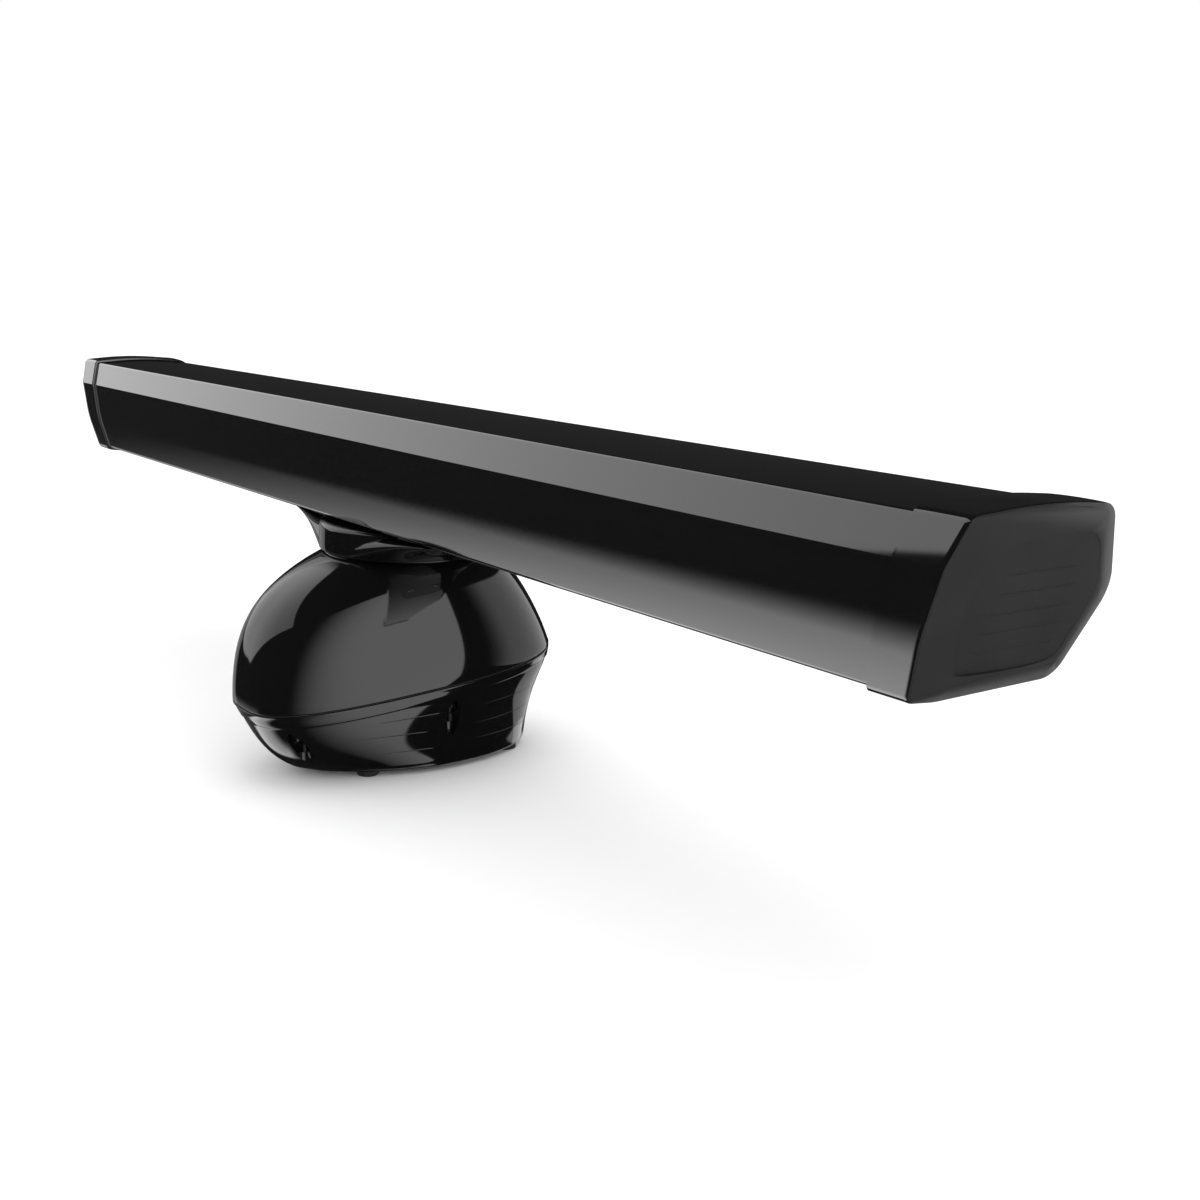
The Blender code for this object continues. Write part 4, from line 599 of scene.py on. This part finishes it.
# %% Bolt pockets and grooves as cutting tools
BOLT_ANGLES = (-112.5, -67.5, 7.0, 173.0, 112.0, 68.0)
POCKET_LEVEL = 0.46
POCKET_HALF = (0.0085, 0.0125, 0.024)
BOLT_INSET = 0.0115
HEAD_SEAT = 0.004
BOLT_HEAD_RADIUS = 0.005
GROOVES = (
    ((-35.1, 0.265), (-2.4, 0.345)), ((-48.9, 0.421), (-2.6, 0.58)), ((-41.3, 0.702), (0.5, 0.80)),
    ((61.0, 0.486), (15.5, 0.385)), ((65.7, 0.717), (17.5, 0.62)), ((66.4, 0.871), (21.5, 0.80)),
)


def bolt_place(degrees):
    """The flank's point at a pocket, its outward direction and the bolt's axis."""
    angle = math.radians(degrees)
    flank = lower_point(angle, POCKET_LEVEL)
    ahead = lower_point(angle + 0.02, POCKET_LEVEL)
    along = (ahead - flank).to_2d().normalized()
    outward = Vector((along.y, -along.x, 0.0))
    return flank, outward, flank - outward * BOLT_INSET


def pocket(degrees):
    """An ellipsoid that leans with the flank."""
    flank, outward, _ = bolt_place(degrees)
    angle = math.radians(degrees)
    above, below = lower_point(angle, POCKET_LEVEL - 0.15), lower_point(angle, POCKET_LEVEL + 0.15)
    upward = (above - below).normalized()
    sideways = upward.cross(outward).normalized()
    inward = upward.cross(sideways).normalized()
    turned = Matrix((sideways, inward, upward)).transposed().to_4x4()
    place = Matrix.Translation(flank) @ turned @ Matrix.Diagonal((*POCKET_HALF, 1.0))
    bm = bmesh.new()
    bmesh.ops.create_uvsphere(bm, u_segments=40, v_segments=28, radius=1.0, matrix=place)
    return bm


def groove(start, end, mirror, points=40, sides=10, thin=0.00025, thick=0.0011):
    """A tapering tube sunk along the flank, thin at its start."""
    rings = []
    for i in range(points):
        share = i / (points - 1)
        angle = math.radians(mix(start[0], end[0], share))
        level = mix(start[1], end[1], share)
        here = lower_point(angle, level, BAND_STEP)
        left, right = [lower_point(angle + side, level, BAND_STEP) for side in (-0.01, 0.01)]
        over, under = [lower_point(angle, level + side, BAND_STEP) for side in (-0.01, 0.01)]
        round_about, down = right - left, under - over
        outward = down.cross(round_about).normalized()
        upward = -down.normalized()
        radius = mix(thin, thick, share ** 0.7)
        ring = []
        for k in range(sides):
            turned = math.tau * k / sides
            point = here + (outward * math.cos(turned) + upward * math.sin(turned)) * radius
            ring.append(Vector((-point.x, point.y, point.z)) if mirror else point)
        rings.append(ring)
    return loft(rings)


# %% The lower housing
def upright(radius, low, high, x, y, sides=32):
    """A round cutter that stands upright."""
    bm = bmesh.new()
    place = Matrix.Translation((x, y, (low + high) / 2))
    bmesh.ops.create_cone(bm, cap_ends=True, segments=sides, radius1=radius, radius2=radius,
                          depth=high - low, matrix=place)
    return bm


def box_of(node):
    """The corners of a node's box, and its middle in plan."""
    low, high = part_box(node)
    return low, high, (low.x + high.x) / 2, (low.y + high.y) / 2


FLOOR_TOP = BASE_Z + 0.006
BOSS_RADIUS, BOSS_ROOT, BOSS_DROP = 0.0155, 0.002, 0.0005
BASE_ROUND, RIM_ROUND = 0.0025, 0.0009
FOOT_HOLE = 0.0073
rings = []
for inset, lift in reversed(round_edge(BASE_ROUND, 5)):
    rings.append(at_level(lower_ring(1.0, BAND_STEP + inset), BASE_Z + lift))
rings += [lower_ring(t, BAND_STEP) for t in [0.95 - 0.79 * i / 30 for i in range(31)]]
rings += [lower_ring(0.154, BAND_STEP * 0.9), lower_ring(0.146, BAND_STEP * 0.15)]
rings += [lower_ring(t) for t in (0.140, 0.105, 0.07, 0.04)]
rings += [lower_ring(0.0, inset, -SEAM_OFFSET - drop) for inset, drop in round_edge(RIM_ROUND)]
rings += [lower_ring(0.0, WALL, -SEAM_OFFSET), lower_ring(0.3, WALL + BAND_STEP)]
rings += [lower_ring(0.6, WALL + BAND_STEP), at_level(lower_ring(1.0, WALL + BAND_STEP), FLOOR_TOP)]
tub = as_object("lower_shell", loft(rings))

clear = WALL / 2 + BAND_STEP
rings = [at_level(lower_ring(1.0, clear), FLOOR_TOP - BOSS_ROOT)]
rings += [lower_ring(0.6, clear), lower_ring(0.3, clear)]
rings.append(lower_ring(0.0, clear, -SEAM_OFFSET - BOSS_DROP))
for degrees in BOLT_ANGLES:
    axis = bolt_place(degrees)[2]
    boss = as_object("boss", upright(BOSS_RADIUS, 0.0, 0.3, axis.x, axis.y))
    cut(boss, loft(rings), operation="INTERSECT")
    solid = bmesh.new()
    solid.from_mesh(boss.data)
    bpy.data.objects.remove(boss)
    cut(tub, solid, operation="UNION")
cut(tub, *[pocket(degrees) for degrees in BOLT_ANGLES])
cut(tub, *[groove(start, end, mirror) for start, end in GROOVES for mirror in (False, True)])
for degrees in BOLT_ANGLES:
    flank, _, axis = bolt_place(degrees)
    seat = flank.z + HEAD_SEAT + GAP
    cut(tub, upright(BOLT_HEAD_RADIUS + GAP, seat - 0.024, seat, axis.x, axis.y))
panel_low, panel_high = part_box("connector_panel")
opening = bmesh.new()
size = (panel_high.x - panel_low.x + 2 * GAP, 0.09, panel_high.z - panel_low.z + 2 * GAP)
centre = ((panel_low.x + panel_high.x) / 2, panel_low.y + 0.012, (panel_low.z + panel_high.z) / 2)
place = Matrix.Translation(centre) @ Matrix.Diagonal((*size, 1.0))
bmesh.ops.create_cube(opening, size=1.0, matrix=place)
cut(tub, opening)
for number in range(1, 5):
    x, y = box_of(f"mounting_foot_{number}")[2:]
    cut(tub, upright(FOOT_HOLE, 0.0, FLOOR_TOP + 0.01, x, y))
piece("lower_shell", tub, "pedestal", ["lower_housing"], [housing_paint])

# %% [markdown]
# ## The upper housing
# The dome is one smooth shell from the seam to the round neck, where the shaft comes out. It is
# lofted the same way, in more levels than the eye can count, because a gloss surface shows every
# facet. Its lower rim is rounded by a millimetre, like the rim that it meets.

# %% The upper housing and the seam's rubber
SEAL_Z = NECK_Z - WALL
rim = reversed(round_edge(RIM_ROUND))
rings = [upper_ring(0.0, inset, lift=SEAM_OFFSET + drop) for inset, drop in rim]
rings += [upper_ring(0.04 + 0.94 * i / 44) for i in range(45)]
rings += [upper_ring(1.0, inset, drop) for inset, drop in round_edge(0.0015)]
rings += [circle_at(radius, NECK_Z) for radius in (0.075, 0.05, SEAL_RADIUS + 0.0008)]
rings += [circle_at(SEAL_RADIUS, NECK_Z - 0.0008), circle_at(SEAL_RADIUS, SEAL_Z)]
rings += [upper_ring(t, WALL, WALL * t) for t in (1.0, 0.78, 0.48, 0.2)]
rings += [upper_ring(0.0, WALL, lift=SEAM_OFFSET)]
dome = loft(rings, closed=True)
piece("upper_shell", dome, "pedestal", ["upper_housing"], [housing_paint])

half = GASKET_THICKNESS / 2
rings = [lower_ring(0.0, 0.0010, -half), lower_ring(0.0, 0.0006, -half * 0.4)]
rings += [upper_ring(0.0, 0.0006, lift=half * 0.4), upper_ring(0.0, 0.0010, lift=half)]
rings += [upper_ring(0.0, WALL, lift=half), lower_ring(0.0, WALL, -half)]
piece("seam_gasket", loft(rings, closed=True), "pedestal", ["housing_gasket"], [rubber])

# %% [markdown]
# ## Bolts, screws and feet
# Turned pieces are half a profile spun about an axis. The spin merges its last step with its
# first, and the points on the axis are merged too, so that the piece is closed. A six-sided cut
# makes the key socket of each bolt.

# %% Helper: spin a profile, cut a key socket
def spun(profile, centre, steps=40, direction=(0.0, 0.0, 1.0)):
    """Turns (radius, height) points about an axis through centre. Heights run along direction."""
    bm = bmesh.new()
    verts = [bm.verts.new((radius, 0.0, height)) for radius, height in profile]
    edges = [bm.edges.new(pair) for pair in zip(verts, verts[1:])]
    bmesh.ops.spin(bm, geom=verts + edges, cent=(0, 0, 0), axis=(0, 0, 1), angle=math.tau,
                   steps=steps, use_merge=True)
    bmesh.ops.remove_doubles(bm, verts=bm.verts, dist=0.000001)
    bmesh.ops.recalc_face_normals(bm, faces=bm.faces)
    turned = Vector((0, 0, 1)).rotation_difference(Vector(direction)).to_matrix().to_4x4()
    bmesh.ops.transform(bm, matrix=Matrix.Translation(centre) @ turned, verts=bm.verts)
    return bm


def rounded(radius, height, edge, steps=4, sign=1):
    """Profile points of a rounded outer edge that ends at this radius and height."""
    turns = [math.pi / 2 * i / (steps - 1) for i in range(steps)]
    return [(radius - edge + edge * math.cos(a), height - sign * edge + sign * edge * math.sin(a))
            for a in turns]


def hex_tool(width, low, high, x, y):
    """A six-sided cutter for a key socket."""
    return upright(width / math.sqrt(3), low, high, x, y, sides=6)


for number, degrees in enumerate(BOLT_ANGLES, 1):
    flank, _, axis = bolt_place(degrees)
    top = seam_z(axis.y - AXIS.y) + 0.018 - flank.z
    end = HEAD_SEAT - 0.010
    profile = [(0.0, top), (0.0025, top), (0.003, top - 0.0006), (0.003, HEAD_SEAT)]
    profile += [(BOLT_HEAD_RADIUS - 0.0003, HEAD_SEAT), (BOLT_HEAD_RADIUS, HEAD_SEAT - 0.0003)]
    profile += [(r, z) for r, z in rounded(BOLT_HEAD_RADIUS, end, 0.0006, sign=-1)] + [(0.0, end)]
    bolt = as_object("bolt", spun(profile, (axis.x, axis.y, flank.z)))
    cut(bolt, hex_tool(0.005, flank.z + end - 0.001, flank.z + end + 0.004, axis.x, axis.y))
    piece(f"seam_bolt_{number}", bolt, "pedestal", [f"housing_bolt_{number}"], [black_steel])

# %% The feet
for number in range(1, 5):
    low, high, x, y = box_of(f"mounting_foot_{number}")
    radius, pad_top = (high.x - low.x) / 2, BASE_Z - GAP
    profile = [(0.0, high.z), (0.0066, high.z), (0.007, high.z - 0.0004), (0.007, pad_top)]
    profile += [(radius - 0.001, pad_top), (radius, pad_top - 0.001), (radius, 0.0045)]
    profile += [(radius - 0.0006, 0.0041), (radius - 0.0006, 0.0033), (radius, 0.0029)]
    profile += [(radius, 0.0009), (radius - 0.0009, 0.0)]
    profile += [(0.0062, 0.0), (0.0055, 0.0004), (0.00425, 0.0010), (0.00425, 0.010), (0.0, 0.010)]
    pad = spun(profile, (x, y, 0.0))
    piece(f"foot_pad_{number}", pad, "pedestal", [f"mounting_foot_{number}"], [rubber])

# %% [markdown]
# ## The aerial's tube
# The tube is a glass-fibre moulding with the same section all along: a nearly flat front whose
# upper strip leans back, a rounded back, a slightly crowned top. The section is nine corners,
# each rounded by its own radius. One loft along the beam makes the tube, with slanted ends.

# %% The tube's section
ARRAY_FRONT, ARRAY_BACK, ARRAY_HEIGHT = 0.086, 0.1045, 0.141
CROWN, CAP_CROWN = 0.0055, 0.0045
CAP_WALL, SKIN, UNDERSIDE_FLAT = 0.0035, 0.003, 0.045
FACE_SLANT, SEAM_SLANT = 0.378, 0.287
ARRAY_LENGTH, CAP_WIDTH = 1.924, 0.0545
HALF_LENGTH = ARRAY_LENGTH / 2
FACE_X = HALF_LENGTH - FACE_SLANT * ARRAY_HEIGHT
SEAM_X = HALF_LENGTH - CAP_WIDTH - SEAM_SLANT * ARRAY_HEIGHT
TUBE_INSERT = 0.020
FACET_LEVEL = 0.106         # the front's upper strip leans back from this height
FACET_BACK = -0.0755        # to this reach


def section_corners(crown):
    """Corners as (y, z, radius, steps), in the order in which the outline runs."""
    top = CAP_Z + ARRAY_HEIGHT
    corners = [(-ARRAY_FRONT + 0.009, CAP_Z + 0.0045, 0.009, 10), (-UNDERSIDE_FLAT, CAP_Z, 0.100, 8)]
    corners += [(ARRAY_BACK - 0.026, CAP_Z, 0.020, 10), (ARRAY_BACK, CAP_Z + 0.070, 0.035, 16)]
    corners += [(ARRAY_BACK - 0.0335, top - 0.0025, 0.028, 14), (-0.006, top + crown, 0.500, 12)]
    corners += [(FACET_BACK, top + 0.001, 0.0075, 10)]
    corners += [(-ARRAY_FRONT - 0.0005, CAP_Z + FACET_LEVEL, 0.0080, 5)]
    corners += [(-ARRAY_FRONT - 0.0005, CAP_Z + 0.055, 0.150, 12)]
    return corners


def array_outline(inset=0.0, crown=CROWN):
    """The section as points and outward normals, both as (y, z)."""
    corners = section_corners(crown)
    points = []
    for i, (y, z, radius, steps) in enumerate(corners):
        here = Vector((y, z))
        back = (Vector(corners[i - 1][:2]) - here).normalized()
        ahead = (Vector(corners[(i + 1) % len(corners)][:2]) - here).normalized()
        centre = here + (back + ahead).normalized() * radius / math.sin(back.angle(ahead) / 2)
        first = Vector((back.y, -back.x))
        first = -first if first.dot(ahead) > 0 else first
        last = Vector((-ahead.y, ahead.x))
        last = -last if last.dot(back) > 0 else last
        sweep = first.angle_signed(last)
        for k in range(steps):
            turned = -sweep * k / (steps - 1)
            c, s = math.cos(turned), math.sin(turned)
            normal = Vector((first.x * c - first.y * s, first.x * s + first.y * c))
            points.append((centre + normal * (radius - inset), normal))
    return points


def array_ring(x, slant, inset=0.0):
    """The section on a slanted plane. x is measured at the level of the underside."""
    return [Vector((x + slant * (p.y - CAP_Z), p.x, p.y)) + AFT for p, _ in array_outline(inset)]


def mirrored(ring):
    return [Vector((-p.x, p.y, p.z)) for p in ring]


# %% The tube
end = SEAM_X + TUBE_INSERT
outer, inner = array_ring(end, SEAM_SLANT, CAP_WALL), array_ring(end, SEAM_SLANT, CAP_WALL + SKIN)
stations = [1.0, 0.75, 0.5, 0.25, 0.0]
outward_run = [[Vector((-p.x * s, p.y, p.z)) for p in outer] for s in stations]
back_run = [[Vector((p.x * s, p.y, p.z)) for p in outer] for s in reversed(stations[:-1])]
tube = loft(outward_run + back_run + [inner, mirrored(inner)], closed=True)
piece("array_shell", tube, "array", ["array_tube"], [array_gelcoat])

# %% [markdown]
# ## The end caps
# Each cap is a sleeve over the tube's end, closed by a face that leans out at the top. The face
# has a broad bevel round the back, which runs out along the bottom, and a thin one along the
# front and the top. Its middle is recessed behind a bowed front edge, and the recess fades out
# aft. Five fine grooves cross it. The sleeve bulges up a little in the middle of its top.

# %% Tools for the cap's face
CAP_CHAMFER, CAP_CHAMFER_DEPTH, CAP_EDGE = 0.015, 0.005, 0.0015
BEVEL_START, BEVEL_RUN = -0.075, 0.055       # where the bottom bevel grows, front to back
FACE_NORMAL_X = 0.55        # faces that look outward more than this take the satin plastic
RECESS_DEPTH = 0.0026
BOW = ((-0.0300, 0.0190), (-0.0430, 0.0290), (-0.0500, 0.0480), (-0.0520, 0.0660), (-0.0496, 0.0890),
       (-0.0400, 0.1070), (-0.0240, 0.1170))
RECESS_BACK = ((0.0500, 0.1190), (0.0740, 0.0920), (0.0800, 0.0700), (0.0700, 0.0400), (0.0540, 0.0190))
LINES = ((0.0355, -0.031, 0.0565), (0.0500, -0.035, 0.0570), (0.0640, -0.033, 0.0600),
         (0.0794, -0.027, 0.0560), (0.0940, -0.020, 0.0480))


def face_point(y, up, out=0.0):
    """A point on the slanted face, up being its height above the cap's underside."""
    return Vector((FACE_X + FACE_SLANT * up + out, y, CAP_Z + up)) + AFT


def smooth_outline(corners, per_side=6):
    """A closed curve through corner points, by Catmull and Rom's rule."""
    points = []
    count = len(corners)
    for i in range(count):
        a, b, c, d = [Vector(corners[(i + k) % count]) for k in (-1, 0, 1, 2)]
        for k in range(per_side):
            t = k / per_side
            points.append(((2 * b) + (c - a) * t + (2 * a - 5 * b + 4 * c - d) * t * t
                           + (3 * b - a - 3 * c + d) * t ** 3) * 0.5)
    return points


def recess_tool():
    """Its floor tilts: deepest at the bow, nothing at the back and the bottom."""
    outline = smooth_outline(BOW + RECESS_BACK)
    floor_ring, lid_ring = [], []
    for y, up in outline:
        share = (0.078 - y) / 0.128
        floor_ring.append(face_point(y, up, -RECESS_DEPTH * max(0.02, share)))
        lid_ring.append(face_point(y, up, 0.012))
    return loft([floor_ring, lid_ring])


def line_tool(up, front, back, radius=0.0007, sides=8):
    """A thin tube sunk along the recess's floor."""
    rings = []
    for i in range(20):
        share = i / 19
        y = mix(front, back, share)
        depth = RECESS_DEPTH * max(0.02, (0.078 - y) / 0.128)
        thick = radius * math.sqrt(max(0.04, 1 - (2 * share - 1) ** 8))
        middle = face_point(y, up, -depth)
        ring = [middle + Vector((math.cos(a), 0.0, math.sin(a))) * thick
                for a in (math.tau * k / sides for k in range(sides))]
        rings.append(ring)
    return loft(rings)


# %% The caps
def cap_rings():
    """Rings of the starboard cap, from its face to the floor of its sleeve."""
    low = array_outline()
    high = array_outline(crown=CROWN + CAP_CROWN)
    face, bevel, rim = [], [], []
    for point, normal in low:
        along = min(1.0, max(0.0, (point.x - BEVEL_START) / BEVEL_RUN))
        share = min(1.0, max(0.0, normal.x) + max(0.0, -normal.y) * along)
        wide, deep = mix(CAP_EDGE, CAP_CHAMFER, share), mix(CAP_EDGE, CAP_CHAMFER_DEPTH, share)
        inner, near = point - normal * wide, point - normal * 0.0004
        face.append(face_point(inner.x, inner.y - CAP_Z))
        bevel.append(face_point(near.x, near.y - CAP_Z, -deep + 0.0002))
        rim.append(face_point(point.x, point.y - CAP_Z, -deep - 0.0006))
    mouth = array_ring(SEAM_X, SEAM_SLANT)
    rings = [face, bevel, rim]
    for step in range(1, 12):
        share = step / 12
        ring = [r.lerp(m, share) for r, m in zip(rim, mouth)]
        for place, (point, normal) in enumerate(low):
            rise = max(0.0, high[place][0].y - point.y) * min(1.0, max(0.0, (normal.y - 0.5) / 0.4))
            ring[place].z += rise * 4 * share * (1 - share)
        rings.append(ring)
    lip = array_ring(SEAM_X, SEAM_SLANT, 0.0008)
    rings += [[m + Vector((0.0008, 0, 0)) for m in mouth], lip]
    deep = SEAM_X + TUBE_INSERT + 0.0021
    rings += [array_ring(x, SEAM_SLANT, CAP_WALL - GAP) for x in (SEAM_X, deep)]
    return rings


cap = as_object("cap", loft(cap_rings()))
cut(cap, recess_tool(), *[line_tool(*line) for line in LINES])
cap_mesh = cap.data
cap_mesh.materials.append(array_gelcoat)
cap_mesh.materials.append(cap_satin)
for polygon in cap_mesh.polygons:
    polygon.material_index = 1 if polygon.normal.x > FACE_NORMAL_X else 0
flipped = bmesh.new()
flipped.from_mesh(cap_mesh)
bmesh.ops.scale(flipped, vec=(-1, 1, 1), verts=flipped.verts)
bmesh.ops.reverse_faces(flipped, faces=flipped.faces)
cap_finishes = [array_gelcoat, cap_satin]
piece("cap_starboard", cap, "array", ["end_cap_starboard"], cap_finishes)
piece("cap_port", flipped, "array", ["end_cap_port"], cap_finishes)

# %% The caps' gaskets and screws
start, stop, within = end + 0.0002, end + 0.0018, CAP_WALL + SKIN
corners = ((start, CAP_WALL), (stop, CAP_WALL), (stop, within), (start, within))
rings = [array_ring(x, SEAM_SLANT, inset) for x, inset in corners]
for side in ("starboard", "port"):
    gasket = loft(rings, closed=True)
    piece(f"gasket_{side}", gasket, "array", [f"end_gasket_{side}"], [rubber])
    rings = [mirrored(ring) for ring in rings]

for number in range(1, 5):
    low, high, x, y = box_of(f"cap_screw_{number}")
    under = CAP_Z - GAP
    profile = [(0.0, high.z), (0.0019, high.z), (0.0022, high.z - 0.0004), (0.0022, under)]
    profile += [(0.0044, under), (0.0045, under - 0.0002), (0.0043, under - 0.0012)]
    profile += [(0.0035, under - 0.0020), (0.0020, under - 0.0023), (0.0, under - 0.0024)]
    screw = as_object("screw", spun(profile, (x, y, 0.0)))
    cut(screw, hex_tool(0.0026, under - 0.003, under - 0.0008, x, y))
    piece(f"sleeve_screw_{number}", screw, "array", [f"cap_screw_{number}"], [stainless])

# %% [markdown]
# ## The bracket
# A saddle casting carries the beam. Its round middle sits on the pedestal's neck and spreads
# into two thin wings under the tube. The saddle and the wings are two simple lofts, joined by a
# union, which leaves the crisp crease that shows where the wings leave the saddle. The wings'
# underside follows a curve that starts steep at the saddle and ends level and thin.

# %% The bracket
SADDLE_REACH, SADDLE_FRONT, SADDLE_BACK = 0.118, 0.092, 0.096
SWEEP = ((0.132, 0.50), (0.180, 1.0))
WING_REACH, WING_FRONT, WING_BACK, WING_EDGE = 0.275, 0.053, 0.058, 0.0035
WING_POWER = 3.5
BRACKET_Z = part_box("array_bracket")[0].z
BRACKET_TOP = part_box("array_bracket")[1].z
HUB_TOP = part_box("rotor_shaft")[1].z + GAP


def wing_ring(t, inset=0.0):
    """The wings' outline at one level: t is 0 at the saddle's underside and 1 at the tips."""
    tip = BRACKET_TOP - WING_EDGE
    handles = [(reach, mix(BRACKET_Z, tip, rise)) for reach, rise in SWEEP]
    length, z = bezier((SADDLE_REACH - 0.0006, BRACKET_Z + 0.0008), *handles, (WING_REACH, tip), t)
    ease = t ** 1.6
    nose, tail = mix(SADDLE_FRONT - 0.0006, WING_FRONT, ease), mix(SADDLE_BACK - 0.0006, WING_BACK, ease)
    powers = (mix(2.0, WING_POWER, t),) * 2
    return [egg_point(a, length, nose, tail, powers, 0.0, (z, z, z), inset) for a in ANGLES]


def saddle_ring(inset, z):
    """The saddle's round outline, set in by a little."""
    sizes = (SADDLE_REACH, SADDLE_FRONT, SADDLE_BACK)
    return [egg_point(a, *sizes, (2.0, 2.0), 0.0, (z, z, z), inset) for a in ANGLES]


SADDLE_ROUND = 0.006
HUB_BORE, FEED_BORE, HEAD_HOLE, BOLT_HOLE = 0.056, 0.013, 0.0077, 0.0043
rings = [saddle_ring(inset, BRACKET_Z + drop) for inset, drop in reversed(round_edge(0.0012))]
for i in range(1, 7):
    level = mix(BRACKET_Z + 0.002, BRACKET_TOP - 0.0075, i / 6)
    rings.append(saddle_ring(SADDLE_ROUND * 0.2 * i / 6, level))
rings += [saddle_ring(0.0012 + inset, BRACKET_TOP - drop) for inset, drop in round_edge(SADDLE_ROUND, 7)]
bracket = as_object("bracket", loft(rings))
rings = [wing_ring(i / 36) for i in range(37)]
rings += [at_level(wing_ring(1.0), BRACKET_TOP - 0.0008), at_level(wing_ring(1.0, 0.0008), BRACKET_TOP)]
cut(bracket, loft(rings), operation="UNION")
cut(bracket, upright(HUB_BORE, BRACKET_Z - 0.01, HUB_TOP, AXIS.x, AXIS.y, 96))
cut(bracket, upright(FEED_BORE, BRACKET_Z, BRACKET_TOP + 0.01, AXIS.x, AXIS.y, 48))
for number in range(1, 5):
    low, high, x, y = box_of(f"array_bolt_{number}")
    tip = BRACKET_TOP - WING_EDGE
    cut(bracket, upright(HEAD_HOLE, BRACKET_Z, tip, x, y))
    cut(bracket, upright(BOLT_HOLE, BRACKET_Z, BRACKET_TOP + 0.01, x, y))
    profile = [(0.0, high.z), (0.0035, high.z), (0.004, high.z - 0.0006), (0.004, tip - GAP)]
    profile += [(0.0062, tip - GAP), (0.0065, tip - GAP - 0.0003)]
    profile += rounded(0.0065, low.z, 0.0007, sign=-1) + [(0.0, low.z)]
    bolt = as_object("bolt", spun(profile, (x, y, 0.0)))
    cut(bolt, hex_tool(0.006, low.z - 0.001, low.z + 0.003, x, y))
    piece(f"wing_bolt_{number}", bolt, "array", [f"array_bolt_{number}"], [stainless])
piece("saddle", bracket, "array", ["array_bracket"], [housing_paint])

# %% [markdown]
# ## The rear panel's fittings
# The sockets are turned bodies with a plain collar, a thread and contacts inside. The earth
# stud is a threaded brass screw with a nut, the vent a small plastic mushroom. All are spun about
# an axis that points aft.

# %% Sockets, earth stud and vent
AFTWARD = (0.0, 1.0, 0.0)
PANEL_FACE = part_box("connector_panel")[0].y + 0.003


def fitting_centre(node):
    low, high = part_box(node)
    return Vector(((low.x + high.x) / 2, PANEL_FACE, (low.z + high.z) / 2))


def threaded(radius, start, stop, pitch, depth):
    """Profile points of a thread, drawn as rings."""
    points = []
    for i in range(int((stop - start) / pitch)):
        low = start + i * pitch
        points += [(radius - depth, low), (radius, low + pitch * 0.35), (radius, low + pitch * 0.65)]
    return points + [(radius - depth, stop)]


for node, bore, contacts in (("power_socket", 0.0062, 3), ("network_socket", 0.0055, 4)):
    centre = fitting_centre(node)
    profile = [(0.0, -0.012), (0.0075, -0.012), (0.0075, GAP), (0.0102, GAP), (0.0105, 0.0006)]
    profile += [(0.0105, 0.0024), (0.0101, 0.0028), (0.0086, 0.0028)]
    profile += threaded(0.0085, 0.0032, 0.0098, 0.0011, 0.0005)
    profile += [(0.0082, 0.0105), (bore + 0.0003, 0.0105), (bore, 0.0102), (bore, 0.0035), (0.0, 0.0035)]
    body = as_object("socket", spun(profile, centre, steps=48, direction=AFTWARD))
    for contact in range(contacts):
        turned = math.tau * contact / contacts + math.pi / 2
        offset = Vector((math.cos(turned), 0.0, math.sin(turned))) * bore * 0.48
        pin = [(0.0, 0.0030), (0.0006, 0.0030), (0.0006, 0.0078), (0.0003, 0.0085), (0.0, 0.0086)]
        cut(body, spun(pin, centre + offset, steps=12, direction=AFTWARD), operation="UNION")
    piece(node.replace("socket", "outlet"), body, "pedestal", [node], [stainless])

centre = fitting_centre("earth_stud")
profile = [(0.0, -0.008), (0.0025, -0.008), (0.0025, GAP), (0.0045, GAP)]
profile += [(0.0045, 0.0036), (0.0041, 0.004)]
profile += threaded(0.0025, 0.0041, 0.0085, 0.0005, 0.00025) + [(0.0019, 0.009), (0.0, 0.009)]
screw = spun(profile, centre, direction=AFTWARD)
piece("earth_screw", screw, "pedestal", ["earth_stud"], [brass])
centre = fitting_centre("breather_vent")
profile = [(0.0, -0.006), (0.0025, -0.006), (0.0025, GAP), (0.005, GAP), (0.005, 0.0032)]
profile += [(0.0047, 0.0039), (0.0040, 0.0044), (0.0, 0.0045)]
vent = spun(profile, centre, direction=AFTWARD)
piece("vent_cap", vent, "pedestal", ["breather_vent"], [dark_plastic])

# %% [markdown]
# ## What stays as the CAD has it
# Everything inside the housings keeps its CAD shape, because it is plain, machined and out of
# sight until somebody lifts the cover. Each node takes the finish of its material slot.

# %% Finishes for the carried-over nodes
FINISHES = {
    "gloss_housing": housing_paint, "gloss_array_skin": array_gelcoat, "cap_plastic": cap_satin,
    "rubber": rubber, "stainless": stainless, "aluminium": aluminium, "brass": brass,
    "gear_nylon": gear_nylon, "circuit_board": circuit_board, "foam": foam,
    "dark_plastic": dark_plastic, "switch_red": switch_red,
}
dressed = 0
for row in frame["record"]["subparts"]:
    for place in frame["nodes"][row["node"]].material_slots:
        place.material = FINISHES[row["material_slot"]]
        dressed += 1
print("material places dressed:", dressed)
